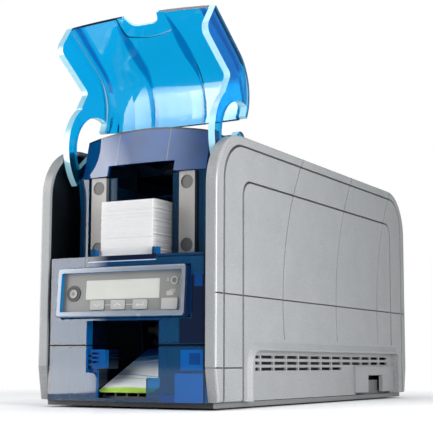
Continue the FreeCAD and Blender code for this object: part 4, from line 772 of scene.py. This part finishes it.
def ring_segments(x, z, inner, outer, count=24):
    """Flat ring as a run of four-sided pieces that share their edges."""
    def at(r, k):
        turn = 2 * math.pi * k / count
        return (x + r * math.cos(turn), z + r * math.sin(turn))
    return [[at(inner, k), at(outer, k), at(outer, k + 1), at(inner, k + 1)] for k in range(count)]


# outlines of the signs on the keys about the key's middle, X and Z
CHEVRON = [(-3.3, 0.5), (0, -1.3), (3.3, 0.5), (3.3, 1.35), (0, -0.45), (-3.3, 1.35)]
ENTER = [(3.0, 1.6), (3.0, -0.25), (-1.6, -0.25), (-1.6, 0.7), (-3.7, -0.6), (-1.6, -1.9),
         (-1.6, -0.95), (3.7, -0.95), (3.7, 1.6)]
KEY_X = (-23.3, -3.0, 18.3)        # middles of the down, up and enter keys
KEY_Z = 84.0
KEY_HALF = 6.75
LINE_HALF = 0.4                    # half height of the lines that join the keys
LINE_GAP = 0.5
CARD_SIGN = (42.6, 48.6, 90.6, 94.0)        # the front card of the card sign: X0, X1, Z0, Z1
CARD_SIGN_EDGES = (1.0, 2.0)       # how far the edges of the two cards behind it stand out
CARD_SIGN_RISE = 0.7               # Z over X of that step
CARD_SIGN_INSET = (1.0, 0.8)       # how much shorter the upper and the right edge are
CARD_SIGN_STROKE = (0.5, 0.45)     # width of the right edge, height of the upper one
# a dot over a short line: X0, X1, Z0, Z1 of each
DOT_SIGN = ((42.8, 44.0, 103.2, 104.4), (42.2, 44.6, 102.2, 102.7))
STATUS_RING = (49.5, 102.5, 2.2, 3.3)       # X, Z, inner and outer radius


def card_sign():
    """A card seen face on, with the upper and right edges of two more behind it."""
    x0, x1, z0, z1 = CARD_SIGN
    wide, high = CARD_SIGN_STROKE
    loops = [block(*CARD_SIGN)]
    for step in CARD_SIGN_EDGES:
        rise = step * CARD_SIGN_RISE
        left, right = x0 + CARD_SIGN_INSET[0] + step, x1 + step
        foot, top = z0 + CARD_SIGN_INSET[1] + rise, z1 + rise
        loops.append([(right - wide, foot), (right, foot), (right, top), (left, top),
                      (left, top - high), (right - wide, top - high)])
    return loops


def panel_signs():
    """Key symbols, lines that join the keys, card and dot signs, and the status light's ring."""
    down, up, enter = KEY_X
    add_mark("sign_down", [shifted(CHEVRON, down, KEY_Z)], KEY_FACE, "key_down_body")
    add_mark("sign_up", [shifted(CHEVRON, up, KEY_Z, -1)], KEY_FACE, "key_up_body")
    add_mark("sign_enter", [shifted(ENTER, enter, KEY_Z)[::-1]], KEY_FACE, "key_enter_body")
    reach = KEY_HALF + LINE_GAP
    lines = [block(left + reach, right - reach, KEY_Z - LINE_HALF, KEY_Z + LINE_HALF)
             for left, right in ((down, up), (up, enter))]
    dots = [block(*edges) for edges in DOT_SIGN]
    add_mark("panel_signs", lines + card_sign() + dots, PANEL_FACE, "chassis", "faint_glyph")
    add_mark("status_ring", ring_segments(*STATUS_RING), RING_FACE, "chassis", "faint_glyph")


# ---------------------------------------------------------------- stage and light
ROOM_LIGHT = 0.22                  # strength of the room against the backdrop's 1
ROOM_TINT = (0.80, 0.84, 0.90, 1)
FLOOR_HALF = 6.0
FLOOR_FADE = (0.28, 0.62)          # the floor turns into the backdrop between these distances
MIDDLE = (0, 0, 0.12)              # points that two of the softboxes aim at
FRONT = (0, -0.22, 0.1)


def soften_edges(light_data, share):
    """Lets an area light fade out over a share of its width and height at each edge."""
    light_data.use_nodes = True
    tree = light_data.node_tree
    place = tree.nodes.new("ShaderNodeNewGeometry")
    split = tree.nodes.new("ShaderNodeSeparateXYZ")
    tree.links.new(place.outputs["Parametric"], split.inputs["Vector"])
    strength = 1.0
    for across in (split.outputs["X"], split.outputs["Y"]):
        rest = calculate(tree, "SUBTRACT", 1.0, across)
        edge = calculate(tree, "DIVIDE", calculate(tree, "MINIMUM", across, rest), share)
        strength = calculate(tree, "MULTIPLY", strength, calculate(tree, "MINIMUM", edge, 1.0))
    tree.links.new(strength, tree.nodes["Emission"].inputs["Strength"])


def add_light(name, at, target, size, power, use="both", soft=0.0, only=None):
    """Area light aimed at a point. It fills, shines or does both, and may light only one node."""
    data = bpy.data.lights.new(name, "AREA")
    data.shape = "RECTANGLE"
    data.size, data.size_y = size
    data.energy = power
    if soft:
        soften_edges(data, soft)
    light = bpy.data.objects.new(name, data)
    light.location = at
    light.rotation_euler = (Vector(target) - Vector(at)).to_track_quat("-Z", "Y").to_euler()
    light.visible_transmission = False
    light.visible_diffuse = use != "shine"
    light.visible_glossy = use != "fill"
    light.visible_camera = False
    bpy.context.scene.collection.objects.link(light)
    if only:
        group = bpy.data.collections.new(name + "_lit")
        group.objects.link(NODES[only])
        light.light_linking.receiver_collection = group


def add_world():
    """White backdrop for what is seen straight or through clear plastic, dimmer room elsewhere."""
    world = bpy.data.worlds.new("studio")
    bpy.context.scene.world = world
    world.use_nodes = True
    tree = world.node_tree
    backdrop = tree.nodes["Background"]
    backdrop.inputs["Color"].default_value = (1, 1, 1, 1)
    backdrop.inputs["Strength"].default_value = 1.0
    room = tree.nodes.new("ShaderNodeBackground")
    room.inputs["Color"].default_value = ROOM_TINT
    room.inputs["Strength"].default_value = ROOM_LIGHT
    path = tree.nodes.new("ShaderNodeLightPath")
    seen = calculate(tree, "MAXIMUM", path.outputs["Is Camera Ray"], path.outputs["Is Transmission Ray"])
    mix = tree.nodes.new("ShaderNodeMixShader")
    tree.links.new(seen, mix.inputs["Fac"])
    tree.links.new(room.outputs["Background"], mix.inputs[1])
    tree.links.new(backdrop.outputs["Background"], mix.inputs[2])
    tree.links.new(mix.outputs["Shader"], tree.nodes["World Output"].inputs["Surface"])


def add_floor():
    """Pale sheet that takes the object's shadow and turns into the white backdrop further out."""
    mesh = bpy.data.meshes.new("floor")
    corners = [(FLOOR_HALF * a, FLOOR_HALF * b, 0) for a, b in ((-1, -1), (1, -1), (1, 1), (-1, 1))]
    mesh.from_pydata(corners, [], [(0, 1, 2, 3)])
    floor = bpy.data.objects.new("floor", mesh)
    bpy.context.scene.collection.objects.link(floor)
    material = plain_plastic("pale_floor", (0.95, 0.95, 0.95), 0.5, spread=0.01)
    tree = material.node_tree
    x, y, _ = object_axes(tree)
    fade = stretch(tree, distance(tree, x, y), *FLOOR_FADE)
    fade.interpolation_type = "SMOOTHSTEP"
    white = tree.nodes.new("ShaderNodeEmission")
    white.inputs["Strength"].default_value = 1.0
    mix = tree.nodes.new("ShaderNodeMixShader")
    tree.links.new(fade.outputs["Result"], mix.inputs["Fac"])
    tree.links.new(tree.nodes["Principled BSDF"].outputs["BSDF"], mix.inputs[1])
    tree.links.new(white.outputs["Emission"], mix.inputs[2])
    tree.links.new(mix.outputs["Shader"], tree.nodes["Material Output"].inputs["Surface"])
    mesh.materials.append(material)


def add_studio():
    """Backdrop, floor and lights. Only the top softbox both fills and shines."""
    add_world()
    add_floor()
    add_light("window_left", (-0.409, -0.381, 0.19), (-0.05, -0.251, 0.19), (0.535, 0.66), 8.3,
              use="shine", soft=0.1)
    add_light("window_high", (-0.61, -1.067, 0.97), (0, -0.2, 0.22), (1.42, 0.6), 10.5,
              use="shine", soft=0.4)
    add_light("window_door", (-0.193, -0.365, 0.22), (0, -0.135, 0.22), (0.27, 0.42), 4.0,
              use="shine", soft=0.3, only="hopper_door")
    add_light("card_light", (-0.08, -0.42, 0.20), (0.0, -0.17, 0.03), (0.12, 0.12), 0.5,
              use="fill", only="printed_card")
    add_light("rim_glint", (1.0, -0.33, 0.12), (0.086, -0.218, 0.12), (0.18, 0.9), 48.0,
              use="shine", soft=0.1, only="right_side_panel")
    add_light("softbox_left", (-1.1, -1.1, 0.9), FRONT, (1.0, 1.0), 7.5, use="fill")
    add_light("softbox_right", (0.66, -0.42, 0.20), (0.086, -0.18, 0.12), (0.36, 0.36), 5.9,
              use="fill")
    add_light("softbox_top", (0, 0.1, 1.6), MIDDLE, (1.6, 1.6), 25)


bpy.context.scene.view_settings.view_transform = "Standard"
add_camera()
MATERIALS = make_materials()
dress_nodes()
card_stack()
panel_signs()
add_studio()

bpy.context.view_layer.update()
